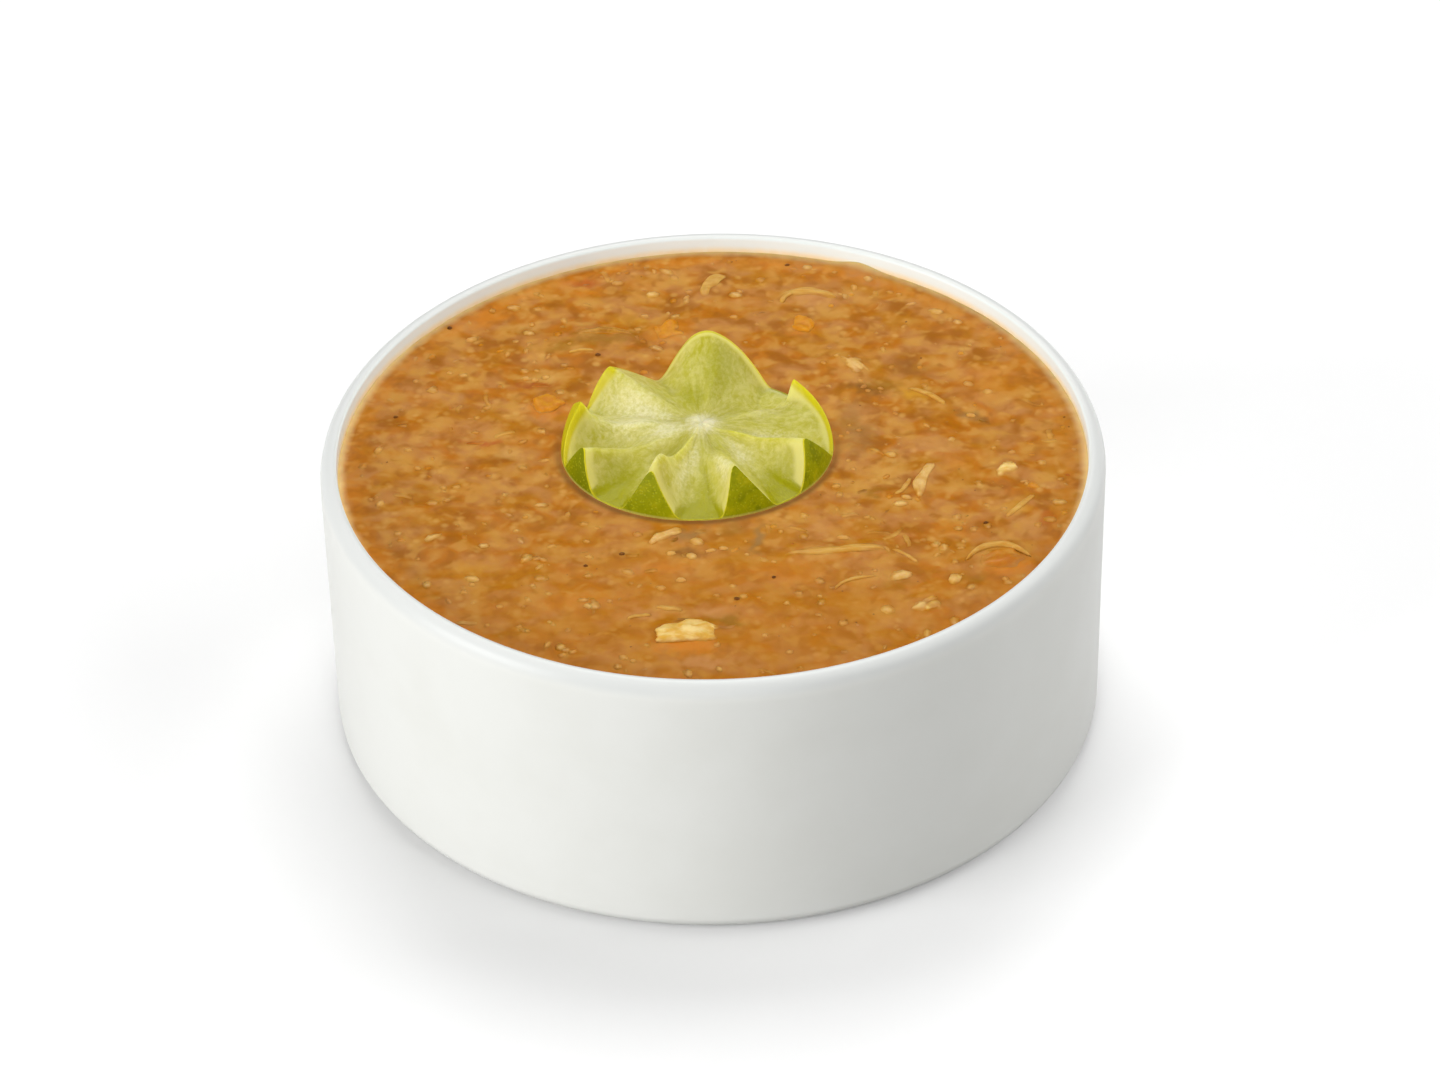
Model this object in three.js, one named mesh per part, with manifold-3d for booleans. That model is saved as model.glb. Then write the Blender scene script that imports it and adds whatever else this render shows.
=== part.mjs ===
// A straight-sided ceramic bowl filled nearly to the brim with thick chicken soup, with a
// zigzag-cut lime half standing in the middle as a garnish.
//
// Units are millimetres and +Z is up. The origin is the middle of the bowl's underside at the
// height of its foot ring. -Y is the front of the bowl.

import * as THREE from 'three';
import { mergeVertices } from 'three/addons/utils/BufferGeometryUtils.js';
import { RoundedBoxGeometry } from 'three/addons/geometries/RoundedBoxGeometry.js';
import ManifoldModule from 'manifold-3d';

const wasm = await ManifoldModule();
wasm.setup();

// ---------------------------------------------------------------------------------------
// Driving dimensions
// ---------------------------------------------------------------------------------------

const ROUND_STEPS = 64; // facets round the bowl and the soup
const CLEARANCE = 0.3; // gap between pieces that touch

const BOWL = {
  height: 53.5,
  rimRadius: 69,
  baseRadius: 68.6,
  mouthRadius: 66, // inside, just under the lip
  cornerRadius: 64.8, // inside, just above the floor
  lipOuterWidth: 2.3,
  lipOuterDrop: 3.9,
  lipInnerRound: 0.7,
  baseRound: 3.1,
  footInnerRadius: 60,
  footStep: 1.2, // sloping side of the foot ring
  recess: 1.5, // hollow under the bowl inside the foot ring
  floor: 5,
  floorRound: 8,
};

const SOUP = {
  level: 50.2,
  swell: 0.34, // height of the slow swells on the thick surface
  edgeCalm: 5, // width along the wall over which the swells fade out
  surfaceRings: 10,
};

// The lime half: a rounded body whose top is cut into eight teeth. Heights are above the
// soup's level, and angles run anticlockwise from +X.
const LIME = {
  centre: [-2.7, 3.8],
  halfWidth: 24.1,
  halfDepth: 21.5,
  below: 21, // depth of the round end below its widest level
  widestLevel: -1,
  coreHeight: 4.6,
  coreShift: [0.8, 0.8],
  footHeight: -0.8, // height of the cut where a tooth starts and ends
  planeReach: 1.7, // how far the cutting planes go past the skin, as a share of their length
  planeDepth: 80,
  skinSteps: 44,
  heightSteps: 16,
};

// One row for each tooth, from the right one round by the back: the angles where it starts
// and ends, the angle and height of its tip, and the half height of the skin's curve under
// it, which is large where the tooth stands upright and small where it leans in.
const TEETH = [
  { start: -7, tip: 30.7, height: 7.7, end: 38, curve: 16.5 },
  { start: 54.5, tip: 87.4, height: 11.7, end: 106.5, curve: 36 },
  { start: 108.5, tip: 138.3, height: 8.5, end: 147, curve: 23 },
  { start: 152, tip: 177.2, height: 10.1, end: 191, curve: 20 },
  { start: 193, tip: 204, height: 7.6, end: 217, curve: 21 },
  { start: 234, tip: 246, height: 8.9, end: 260, curve: 22 },
  { start: 282, tip: 288.4, height: 10, end: 307, curve: 23 },
  { start: 322, tip: 332.2, height: 9, end: 351, curve: 22 },
];

// The larger pieces that lie in the surface, each a piece of its own whose name starts with
// its food. size is length, width and height, turn is the heading of the length, rise is how
// far the top stands above the soup's level, and bend is how far a strip's middle bows to
// its left.
const PIECES = [
  { node: 'chicken_chunk_front', form: 'lump', at: [-4.9, -49.4], size: [10.2, 7.2, 5.2], turn: 4, rise: 1.5 },
  { node: 'chicken_chunk_right', form: 'lump', at: [36.0, -43.2], size: [7.2, 5.4, 4.4], turn: 24, rise: 0.9 },
  { node: 'chicken_chunk_side', form: 'lump', at: [51.4, -5.2], size: [6.2, 4.4, 3.6], turn: 60, rise: 0.9 },
  { node: 'onion_piece_back', form: 'lump', at: [26.2, 28.2], size: [8.4, 4.6, 3.6], turn: -57, rise: 0.8 },
  { node: 'tomato_piece_right', form: 'lump', at: [49.2, -30.6], size: [10.6, 7.4, 4.6], turn: 12, rise: 1.3 },
  { node: 'carrot_dice_back', form: 'dice', at: [-7.6, 40.6], size: [5.4, 5.2, 4.4], turn: 18, rise: 0.9 },
  { node: 'carrot_dice_left', form: 'dice', at: [-29.6, 18.2], size: [5.6, 5.6, 4.4], turn: 40, rise: 0.9 },
  { node: 'carrot_dice_rear', form: 'dice', at: [17.0, 41.4], size: [4.4, 4.8, 3.8], turn: 68, rise: 0.8 },
  {
    node: 'chicken_shred_front', form: 'strip', at: [21.0, -27.7], size: [19.5, 1.9, 1.7],
    turn: 3, rise: 0.75, bend: 0.7,
  },
  {
    node: 'chicken_shred_back', form: 'strip', at: [18.2, 50.0], size: [11.5, 2.1, 1.9],
    turn: -6, rise: 0.8, bend: 1.9,
  },
  {
    node: 'chicken_shred_rear', form: 'strip', at: [1.0, 54.6], size: [9.2, 3.0, 2.2],
    turn: 62, rise: 0.8, bend: 0.9,
  },
  {
    node: 'onion_strip_side', form: 'strip', at: [37.1, -7.4], size: [11.0, 1.9, 1.7],
    turn: 75, rise: 0.75, bend: 0.6,
  },
  {
    node: 'onion_strip_front', form: 'strip', at: [-8.4, -22.6], size: [7.6, 1.9, 1.7],
    turn: 34, rise: 0.7, bend: 0.4,
  },
  {
    node: 'pepper_strip_back', form: 'strip', at: [-19.4, 39.4], size: [11.6, 2.8, 1.8],
    turn: 2, rise: 0.7, bend: 1.6,
  },
].map((piece, index) => ({ ...piece, seed: index + 1 }));

// The small bits that are stuck fast in the soup's surface, in the order in which they are
// strewn. Each count is spread evenly over the surface, and sizes are smallest and largest.
const BITS = {
  seed: 20,
  kinds: [
    {
      form: 'strip', count: 26,
      length: [4.5, 8.5], width: [1.1, 1.7], height: [1.1, 1.5], rise: [0.35, 0.6],
    },
    {
      form: 'grain', count: 78,
      length: [1.7, 3.0], width: [1.5, 2.4], height: [1.3, 1.9], rise: [0.35, 0.7],
    },
  ],
  tries: 24, // places tried for each bit, of which the loneliest is taken
  apart: 0.8, // least gap between a bit and another piece
  wallGap: 1.2, // least gap between a bit and the bowl
};

const LARGE_LUMP = 9; // longer lumps have finer facets
const LUMP_UNEVENNESS = 0.14; // share of its size by which a piece swells and thins
const STRIP_BLUNTNESS = 0.6; // 1 gives a strip pointed ends, 0 square ones
const BIT_STRIP_FINENESS = [5, 5]; // sides and steps of a small strip

const FOODS = {
  chicken: { colour: 0xe3bd7c, roughness: 0.5 },
  onion: { colour: 0xd9bb7e, roughness: 0.4 },
  tomato: { colour: 0xd58430, roughness: 0.4 },
  pepper: { colour: 0xb07a2c, roughness: 0.4 },
  carrot: { colour: 0xdc8b2e, roughness: 0.5 },
  soup: { colour: 0xbd7f37, roughness: 0.4 },
  lime: { colour: 0xb9b45c, roughness: 0.4 },
};
const GLAZE = { colour: 0xf1f1ec, roughness: 0.25 };

// ---------------------------------------------------------------------------------------
// Closed meshes, solids and small helpers
// ---------------------------------------------------------------------------------------

const MERGE_DISTANCE = 1e-4;
const FULL_TURN = 2 * Math.PI;
const rad = THREE.MathUtils.degToRad;

/** A copy of a geometry with positions only, shared vertices and no collapsed triangles. */
function welded(geometry) {
  const bare = geometry.clone();
  for (const name of Object.keys(bare.attributes)) {
    if (name !== 'position') bare.deleteAttribute(name);
  }
  const merged = mergeVertices(bare, MERGE_DISTANCE);
  const index = merged.index.array;
  const kept = [];
  for (let i = 0; i < index.length; i += 3) {
    const [a, b, c] = [index[i], index[i + 1], index[i + 2]];
    if (a !== b && b !== c && c !== a) kept.push(a, b, c);
  }
  merged.setIndex(kept);
  return merged;
}

/** The solid that a closed geometry bounds. */
function solidOf(geometry) {
  const shell = welded(geometry);
  return new wasm.Manifold(new wasm.Mesh({
    numProp: 3,
    vertProperties: new Float32Array(shell.attributes.position.array),
    triVerts: new Uint32Array(shell.index.array),
  }));
}

/** The geometry of a solid's surface. */
function geometryOf(solid) {
  const surface = solid.getMesh();
  const geometry = new THREE.BufferGeometry();
  geometry.setAttribute('position', new THREE.BufferAttribute(surface.vertProperties, 3));
  geometry.setIndex(new THREE.BufferAttribute(surface.triVerts, 1));
  geometry.computeVertexNormals();
  return geometry;
}

/** Moves every vertex of a geometry to where place(point) puts it. */
function reshape(geometry, place) {
  const positions = geometry.attributes.position;
  const point = new THREE.Vector3();
  for (let i = 0; i < positions.count; i += 1) {
    point.fromBufferAttribute(positions, i);
    place(point);
    positions.setXYZ(i, point.x, point.y, point.z);
  }
  return geometry;
}

/** A profile of [radius, height] pairs turned about the Z axis. */
function revolved(profile) {
  const points = profile.map(([radius, height]) => new THREE.Vector2(radius, height));
  return new THREE.LatheGeometry(points, ROUND_STEPS).rotateX(Math.PI / 2);
}

/** Points of a quarter ellipse about a centre, from one angle in degrees to another. */
function quarter([centreR, centreZ], radiusR, radiusZ, from, to, steps) {
  const points = [];
  for (let i = 0; i <= steps; i += 1) {
    const angle = rad(from + ((to - from) * i) / steps);
    points.push([centreR + radiusR * Math.cos(angle), centreZ + radiusZ * Math.sin(angle)]);
  }
  return points;
}

/** A repeatable source of numbers from 0 up to 1. */
function numbersFrom(seed) {
  let state = seed;
  return () => {
    state = (state + 0x6d2b79f5) | 0;
    let t = Math.imul(state ^ (state >>> 15), 1 | state);
    t = (t + Math.imul(t ^ (t >>> 7), 61 | t)) ^ t;
    return ((t ^ (t >>> 14)) >>> 0) / 4294967296;
  };
}

// ---------------------------------------------------------------------------------------
// Bowl
// ---------------------------------------------------------------------------------------

function bowlGeometry() {
  const b = BOWL;
  const lipRadius = b.rimRadius - b.lipOuterWidth;
  return revolved([
    [0, b.recess],
    [b.footInnerRadius, b.recess],
    [b.footInnerRadius + b.footStep, 0],
    ...quarter([b.baseRadius - b.baseRound, b.baseRound], b.baseRound, b.baseRound, -90, 0, 3),
    ...quarter([lipRadius, b.height - b.lipOuterDrop], b.lipOuterWidth, b.lipOuterDrop, 0, 90, 5),
    ...quarter([b.mouthRadius + b.lipInnerRound, b.height - b.lipInnerRound],
      b.lipInnerRound, b.lipInnerRound, 90, 180, 2).slice(1),
    ...quarter([b.cornerRadius - b.floorRound, b.floor + b.floorRound],
      b.floorRound, b.floorRound, 0, -90, 3),
    [0, b.floor],
  ]);
}

// ---------------------------------------------------------------------------------------
// Soup: a body that fills the bowl, with a softly swelling surface
// ---------------------------------------------------------------------------------------

/** Radius of the bowl's inside at a height, above its rounded floor edge. */
function wallRadius(height) {
  const low = BOWL.floor + BOWL.floorRound;
  const share = (height - low) / (BOWL.height - BOWL.lipInnerRound - low);
  return THREE.MathUtils.lerp(BOWL.cornerRadius, BOWL.mouthRadius, share);
}

const SOUP_RADIUS = wallRadius(SOUP.level) - CLEARANCE;

/** How far the soup's surface stands above its level at a place. */
function swellAt(x, y) {
  const calm = THREE.MathUtils.smoothstep(SOUP_RADIUS - Math.hypot(x, y), 0, SOUP.edgeCalm);
  const waves = Math.sin(x / 5.3 + 0.8) * Math.cos(y / 6.1 - 0.5)
    + 0.6 * Math.sin((x + y) / 3.7 + 2.1) * Math.sin((x - y) / 4.3)
    + 0.4 * Math.cos(x / 2.9 - y / 9.1);
  return (SOUP.swell * calm * waves) / 2;
}

function soupBody() {
  const bottom = BOWL.floor + CLEARANCE;
  const round = BOWL.floorRound;
  const side = BOWL.cornerRadius - CLEARANCE;
  const surface = [];
  for (let ring = 0; ring <= SOUP.surfaceRings; ring += 1) {
    surface.push([SOUP_RADIUS * Math.sqrt(1 - ring / SOUP.surfaceRings), SOUP.level]);
  }
  const geometry = revolved([
    [0, bottom],
    ...quarter([side - round, bottom + round], round, round, -90, 0, 3),
    ...surface,
  ]);
  const topTolerance = 0.01;
  return solidOf(reshape(geometry, (p) => {
    if (Math.abs(p.z - SOUP.level) < topTolerance) p.z += swellAt(p.x, p.y);
  }));
}

// ---------------------------------------------------------------------------------------
// Lime half with a zigzag cut: a rounded body met by planes that all pass through the core
// ---------------------------------------------------------------------------------------

/** Half height of the skin's curve at an angle, eased from one tooth's tip to the next. */
function skinCurve(angle) {
  const after = TEETH.findIndex(({ tip }) => tip > angle);
  const next = TEETH[after < 0 ? 0 : after];
  const last = TEETH.at(after < 0 ? -1 : after - 1);
  const span = (next.tip - last.tip + 360) % 360;
  const share = ((angle - last.tip + 360) % 360) / span;
  return THREE.MathUtils.lerp(last.curve, next.curve, THREE.MathUtils.smoothstep(share, 0, 1));
}

/** The point of the skin at an angle and a height above the soup. */
function skinPoint(angle, height) {
  const rise = height - LIME.widestLevel;
  const narrowing = Math.sqrt(1 - (rise / (rise > 0 ? skinCurve(angle) : LIME.below)) ** 2);
  const [cos, sin] = [Math.cos(rad(angle)), Math.sin(rad(angle))];
  const radius = narrowing / Math.hypot(cos / LIME.halfWidth, sin / LIME.halfDepth);
  return new THREE.Vector3(
    LIME.centre[0] + radius * cos,
    LIME.centre[1] + radius * sin,
    SOUP.level + height,
  );
}

/** The lime's whole rounded body, grown by a gap. */
function limeSkin(gap) {
  const ball = new THREE.SphereGeometry(1, LIME.skinSteps, LIME.heightSteps);
  return solidOf(reshape(ball.rotateX(Math.PI / 2), (p) => {
    const angle = (THREE.MathUtils.radToDeg(Math.atan2(p.y, p.x)) + 360) % 360;
    const reach = p.z > 0 ? skinCurve(angle) : LIME.below;
    p.set(
      LIME.centre[0] + p.x * (LIME.halfWidth + gap),
      LIME.centre[1] + p.y * (LIME.halfDepth + gap),
      SOUP.level + LIME.widestLevel + p.z * (reach + gap),
    );
  }));
}

/** Everything below the zigzag cut: a fan of planes from the core out past the skin. */
function belowZigzag() {
  const corners = TEETH.flatMap(({ start, tip, height, end }) => [
    skinPoint(start, LIME.footHeight),
    skinPoint(tip, height),
    skinPoint(end, LIME.footHeight),
  ]);
  const core = new THREE.Vector3(
    LIME.centre[0] + LIME.coreShift[0],
    LIME.centre[1] + LIME.coreShift[1],
    SOUP.level + LIME.coreHeight,
  );
  const fan = new THREE.ConeGeometry(1, 1, corners.length).rotateX(Math.PI / 2);
  return solidOf(reshape(fan, (p) => {
    const onRim = Math.hypot(p.x, p.y) > 0.5;
    if (onRim) {
      const turns = Math.atan2(p.y, p.x) / FULL_TURN + 1;
      const corner = corners[Math.round(turns * corners.length) % corners.length];
      p.copy(core).lerp(corner, LIME.planeReach);
    } else if (p.z > 0) {
      p.copy(core);
    } else {
      p.copy(core).setZ(core.z - LIME.planeDepth);
    }
  }));
}

// ---------------------------------------------------------------------------------------
// Pieces of food: lumps, dice and strips, made about the origin with their length along X
// ---------------------------------------------------------------------------------------

/** A gentle unevenness from -1 to 1 that depends on direction and on the piece's seed. */
function unevenness({ x, y, z }, seed) {
  return (Math.sin(2.7 * x + 1.9 * seed) + Math.sin(3.1 * y - 2.3 * seed + 1)
    + Math.sin(2.3 * z + 3.1 * x + seed)) / 3;
}

const FORMS = {
  /** An uneven lump. */
  lump({ size, seed }, gap, detail = size[0] > LARGE_LUMP ? 2 : 1) {
    const [length, width, height] = size;
    return reshape(new THREE.IcosahedronGeometry(1, detail), (p) => {
      const swell = 1 + LUMP_UNEVENNESS * unevenness(p, seed);
      p.set(
        p.x * ((swell * length) / 2 + gap),
        p.y * ((swell * width) / 2 + gap),
        p.z * (height / 2 + gap),
      );
    });
  },
  /** A cooked die with soft corners. */
  dice({ size, seed }, gap) {
    const [length, width, height] = size;
    const soft = 0.3 * height;
    const box = new RoundedBoxGeometry(length, width, height, 1, soft);
    return reshape(box, (p) => {
      const swell = 1 + (LUMP_UNEVENNESS / 2) * unevenness(p, seed);
      p.x *= swell * (1 + (2 * gap) / length);
      p.y *= swell * (1 + (2 * gap) / width);
      p.z *= 1 + (2 * gap) / height;
    });
  },
  /** A strip with blunt ends that bows to its left. */
  strip({ size, bend = 0, seed }, gap, sides = 6, steps = 8) {
    const [length, width, height] = size;
    const ball = new THREE.SphereGeometry(1, sides, steps).rotateZ(Math.PI / 2);
    return reshape(ball, (p) => {
      const girth = Math.hypot(p.y, p.z);
      const blunt = girth > 0.01 ? girth ** (STRIP_BLUNTNESS - 1) : 1;
      const swell = 1 + LUMP_UNEVENNESS * Math.sin(4 * p.x + seed);
      p.set(
        p.x * (length / 2 + gap),
        p.y * blunt * ((swell * width) / 2 + gap) + bend * (1 - p.x * p.x),
        p.z * blunt * (height / 2 + gap),
      );
    });
  },
  /** A small grain with few sides. */
  grain(piece, gap) {
    return FORMS.lump(piece, gap, 0);
  },
};

/** A piece's geometry at its place in the soup, grown by a gap. */
function pieceGeometry(piece, gap = 0, ...fineness) {
  const [x, y] = piece.at;
  const middle = SOUP.level + piece.rise - piece.size[2] / 2;
  return FORMS[piece.form](piece, gap, ...fineness)
    .rotateZ(rad(piece.turn))
    .translate(x, y, middle);
}

// ---------------------------------------------------------------------------------------
// Strewing the small bits
// ---------------------------------------------------------------------------------------

/** The straight line along a piece's middle, as points, with the half width round it. */
function spineOf({ at: [x, y], size: [length, width], turn, bend = 0 }) {
  const half = Math.max(length - width, 0) / 2;
  const shares = [-1, -0.5, 0, 0.5, 1];
  return shares.map((share) => ({
    x: x + share * half * Math.cos(rad(turn)),
    y: y + share * half * Math.sin(rad(turn)),
    reach: width / 2 + Math.abs(bend),
  }));
}

/** The least gap in plan between two pieces. */
function gapBetween(one, other) {
  let least = Infinity;
  for (const a of one) {
    for (const b of other) {
      least = Math.min(least, Math.hypot(a.x - b.x, a.y - b.y) - a.reach - b.reach);
    }
  }
  return least;
}

/** Whether a piece lies on open soup: off the lime, off the wall and off the large pieces. */
function isOnOpenSoup(spine, largeSpines) {
  const clearOfEdges = spine.every(({ x, y, reach }) => {
    const across = (x - LIME.centre[0]) / (LIME.halfWidth + reach + BITS.apart);
    const deep = (y - LIME.centre[1]) / (LIME.halfDepth + reach + BITS.apart);
    return Math.hypot(across, deep) > 1
      && Math.hypot(x, y) + reach + BITS.wallGap < SOUP_RADIUS;
  });
  return clearOfEdges && largeSpines.every((large) => gapBetween(spine, large) > BITS.apart);
}

/** The bits, each at the loneliest of several places drawn for it. */
function strewnBits() {
  const next = numbersFrom(BITS.seed);
  const between = ([least, most]) => least + (most - least) * next();
  const largeSpines = PIECES.map(spineOf);
  const bits = [];
  const bitSpines = [];
  for (const kind of BITS.kinds) {
    for (let n = 0; n < kind.count; n += 1) {
      const size = [between(kind.length), between(kind.width), between(kind.height)];
      const rise = between(kind.rise);
      let best = null;
      let bestGap = BITS.apart;
      for (let tried = 0; tried < BITS.tries; tried += 1) {
        const distance = SOUP_RADIUS * Math.sqrt(next());
        const angle = FULL_TURN * next();
        const at = [distance * Math.cos(angle), distance * Math.sin(angle)];
        const bit = { form: kind.form, at, size, rise, turn: 360 * next(), seed: 9 * next() };
        const spine = spineOf(bit);
        if (isOnOpenSoup(spine, largeSpines)) {
          const gap = Math.min(...bitSpines.map((other) => gapBetween(spine, other)), 2 * SOUP_RADIUS);
          if (gap > bestGap) [best, bestGap] = [bit, gap];
        }
      }
      if (best) {
        bits.push(best);
        bitSpines.push(spineOf(best));
      }
    }
  }
  return bits;
}

function soupGeometry() {
  let soup = soupBody();
  for (const bit of strewnBits()) {
    const fineness = bit.form === 'strip' ? BIT_STRIP_FINENESS : [];
    soup = soup.add(solidOf(pieceGeometry(bit, 0, ...fineness)));
  }
  soup = soup.subtract(limeSkin(CLEARANCE));
  for (const piece of PIECES) {
    soup = soup.subtract(solidOf(pieceGeometry(piece, CLEARANCE)));
  }
  return geometryOf(soup);
}

// ---------------------------------------------------------------------------------------
// The bowl of soup
// ---------------------------------------------------------------------------------------

function meshOf(name, geometry, { colour, roughness }) {
  const material = new THREE.MeshStandardMaterial({ color: colour, roughness, metalness: 0 });
  const mesh = new THREE.Mesh(geometry, material);
  mesh.name = name;
  return mesh;
}

const group = new THREE.Group();
group.add(meshOf('bowl', bowlGeometry(), GLAZE));
group.add(meshOf('soup', soupGeometry(), FOODS.soup));
group.add(meshOf('lime_crown', geometryOf(limeSkin(0).intersect(belowZigzag())), FOODS.lime));
for (const piece of PIECES) {
  const [food] = piece.node.split('_');
  group.add(meshOf(piece.node, pieceGeometry(piece), FOODS[food]));
}

export default group;
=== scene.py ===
"""A white ceramic bowl of thick chicken soup with a zigzag-cut lime half standing in it.

Sizes in the classes are millimetres, and each mesh is scaled to metres as it is finished.
Heights of food are measured from the soup's level, and headings run anticlockwise from +X.
"""

import logging
import math
import random
from collections.abc import Callable, Iterable, Sequence
from dataclasses import dataclass, field
from enum import Enum

import bmesh
import bpy
import numpy as np
from mathutils import Matrix, Vector, noise


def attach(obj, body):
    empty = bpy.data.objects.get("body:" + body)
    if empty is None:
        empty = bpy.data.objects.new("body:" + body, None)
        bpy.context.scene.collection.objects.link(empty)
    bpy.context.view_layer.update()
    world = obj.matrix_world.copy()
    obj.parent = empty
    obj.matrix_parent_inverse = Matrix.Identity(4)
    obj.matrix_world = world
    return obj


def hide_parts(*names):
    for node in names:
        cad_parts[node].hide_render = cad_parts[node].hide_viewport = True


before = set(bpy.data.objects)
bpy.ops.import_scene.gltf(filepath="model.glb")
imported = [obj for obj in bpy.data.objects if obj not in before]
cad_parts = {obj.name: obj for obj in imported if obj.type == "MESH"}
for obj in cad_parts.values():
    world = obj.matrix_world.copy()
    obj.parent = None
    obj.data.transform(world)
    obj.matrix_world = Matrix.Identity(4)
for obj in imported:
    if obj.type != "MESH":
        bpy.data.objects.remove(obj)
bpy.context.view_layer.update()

LOG = logging.getLogger("soup_bowl")
BODY = "root"
METRES_PER_MM = 0.001
Colour = tuple[float, float, float]


def srgb(red: float, green: float, blue: float) -> Colour:
    """Turn a colour of 0 to 255 as seen on a screen into linear light.

    Args:
        red: Red, from 0 to 255.
        green: Green, from 0 to 255.
        blue: Blue, from 0 to 255.

    Returns:
        The linear red, green and blue, from 0 to 1.
    """
    def linear(value: float) -> float:
        """One channel in linear light."""
        share = value / 255
        return share / 12.92 if share <= 0.04045 else ((share + 0.055) / 1.055) ** 2.4

    return linear(red), linear(green), linear(blue)


def smooth_step(value: float, low: float, high: float) -> float:
    """Ease from 0 at low to 1 at high.

    Args:
        value: The value to ease.
        low: Where the result is 0.
        high: Where the result is 1.

    Returns:
        A number from 0 to 1.
    """
    share = min(max((value - low) / (high - low), 0.0), 1.0)
    return share * share * (3 - 2 * share)


def turn_between(heading: float, other: float) -> float:
    """Give the turn from one heading to another, from -180 to 180 degrees."""
    return (heading - other + 180) % 360 - 180


def nearness(heading: float, middle: float, spread: float, power: int = 2) -> float:
    """Give 1 at a middle heading, falling softly to 0 beyond its spread to each side."""
    return math.exp(-(turn_between(heading, middle) / spread) ** power)


def along_headings(heading: float, places: Iterable[tuple[float, float, float]]) -> float:
    """Add up the soft places, each of a middle, a spread and an amount, at a heading."""
    return sum(amount * nearness(heading, middle, spread) for middle, spread, amount in places)


# Shaders


class Shader:
    """One material's nodes, with patterns measured in millimetres on the piece."""

    def __init__(self, name: str, **surface: float | Sequence[float]) -> None:
        """Start a material with one principled surface.

        Args:
            name: The material's name.
            **surface: Constant values by socket name, with _ for a space.
        """
        self.material = bpy.data.materials.new(name)
        self.material.use_nodes = True
        self.tree = self.material.node_tree
        self.tree.nodes.clear()
        self.surface = self.add("ShaderNodeBsdfPrincipled")
        output = self.add("ShaderNodeOutputMaterial")
        self.tree.links.new(self.surface.outputs["BSDF"], output.inputs["Surface"])
        for key, value in surface.items():
            self.surface.inputs[key.replace("_", " ")].default_value = value

    def add(self, kind: str, **settings: object) -> bpy.types.Node:
        """Add a node.

        Args:
            kind: The node's type.
            **settings: Its properties.

        Returns:
            The node.
        """
        node = self.tree.nodes.new(kind)
        for key, value in settings.items():
            setattr(node, key, value)
        return node

    def feed(self, node: bpy.types.Node, socket: str | int, value: object) -> None:
        """Link a socket to an output, or set its value.

        Args:
            node: The node that takes the value.
            socket: The input's name or number.
            value: An output socket, a number or a colour.
        """
        target = node.inputs[socket]
        if isinstance(value, bpy.types.NodeSocket):
            self.tree.links.new(value, target)
        elif isinstance(value, tuple) and len(value) == 3 and target.type == "RGBA":
            target.default_value = (*value, 1.0)
        else:
            target.default_value = value

    def place(self, stretch: Sequence[float] = (1, 1, 1)) -> bpy.types.NodeSocket:
        """Give the place on the piece in millimetres.

        Args:
            stretch: How much denser a pattern is along X, Y and Z.

        Returns:
            The vector output.
        """
        where = self.add("ShaderNodeTexCoord")
        mapping = self.add("ShaderNodeMapping")
        self.feed(mapping, "Vector", where.outputs["Object"])
        mapping.inputs["Scale"].default_value = [s / METRES_PER_MM for s in stretch]
        return mapping.outputs["Vector"]

    def own(self, name: str, output: str = "Fac") -> bpy.types.NodeSocket:
        """Read an attribute that the piece's vertices carry.

        Args:
            name: The attribute's name.
            output: Fac, Color, Vector or Alpha.

        Returns:
            The output socket.
        """
        reader = self.add("ShaderNodeAttribute", attribute_type="GEOMETRY", attribute_name=name)
        return reader.outputs[output]

    def noise(self, size: float, detail: float = 3.0, roughness: float = 0.55,
              where: bpy.types.NodeSocket | None = None, warp: float = 0.0) -> bpy.types.NodeSocket:
        """Make cloudy noise.

        Args:
            size: Width of its largest clouds in millimetres.
            detail: How many finer layers it has.
            roughness: How strong the finer layers are.
            where: The place it reads, or the place on the piece.
            warp: How far it is distorted.

        Returns:
            A factor from 0 to 1.
        """
        cloud = self.add("ShaderNodeTexNoise")
        self.feed(cloud, "Vector", where or self.place())
        cloud.inputs["Scale"].default_value = 1 / size
        cloud.inputs["Detail"].default_value = detail
        cloud.inputs["Roughness"].default_value = roughness
        cloud.inputs["Distortion"].default_value = warp
        return cloud.outputs["Fac"]

    def cells(self, size: float, where: bpy.types.NodeSocket | None = None) -> bpy.types.NodeSocket:
        """Make a pattern of round cells.

        Args:
            size: Width of a cell in millimetres.
            where: The place it reads, or the place on the piece.

        Returns:
            The distance from the middle of the nearest cell.
        """
        cells = self.add("ShaderNodeTexVoronoi")
        self.feed(cells, "Vector", where or self.place())
        cells.inputs["Scale"].default_value = 1 / size
        return cells.outputs["Distance"]

    def span(self, value: bpy.types.NodeSocket, low: float, high: float,
             start: float = 0.0, end: float = 1.0) -> bpy.types.NodeSocket:
        """Map a value smoothly from one range to another.

        Args:
            value: The value.
            low: The value that gives start.
            high: The value that gives end.
            start: The result at low.
            end: The result at high.

        Returns:
            The mapped value.
        """
        node = self.add("ShaderNodeMapRange", interpolation_type="SMOOTHSTEP")
        self.feed(node, "Value", value)
        for key, number in (("From Min", low), ("From Max", high), ("To Min", start), ("To Max", end)):
            node.inputs[key].default_value = number
        return node.outputs["Result"]

    def maths(self, operation: str, first: object, second: object = 0.0) -> bpy.types.NodeSocket:
        """Work out one number from two.

        Args:
            operation: The operation's name.
            first: A number or socket.
            second: A number or socket.

        Returns:
            The result.
        """
        node = self.add("ShaderNodeMath", operation=operation)
        self.feed(node, 0, first)
        self.feed(node, 1, second)
        return node.outputs[0]

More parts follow.
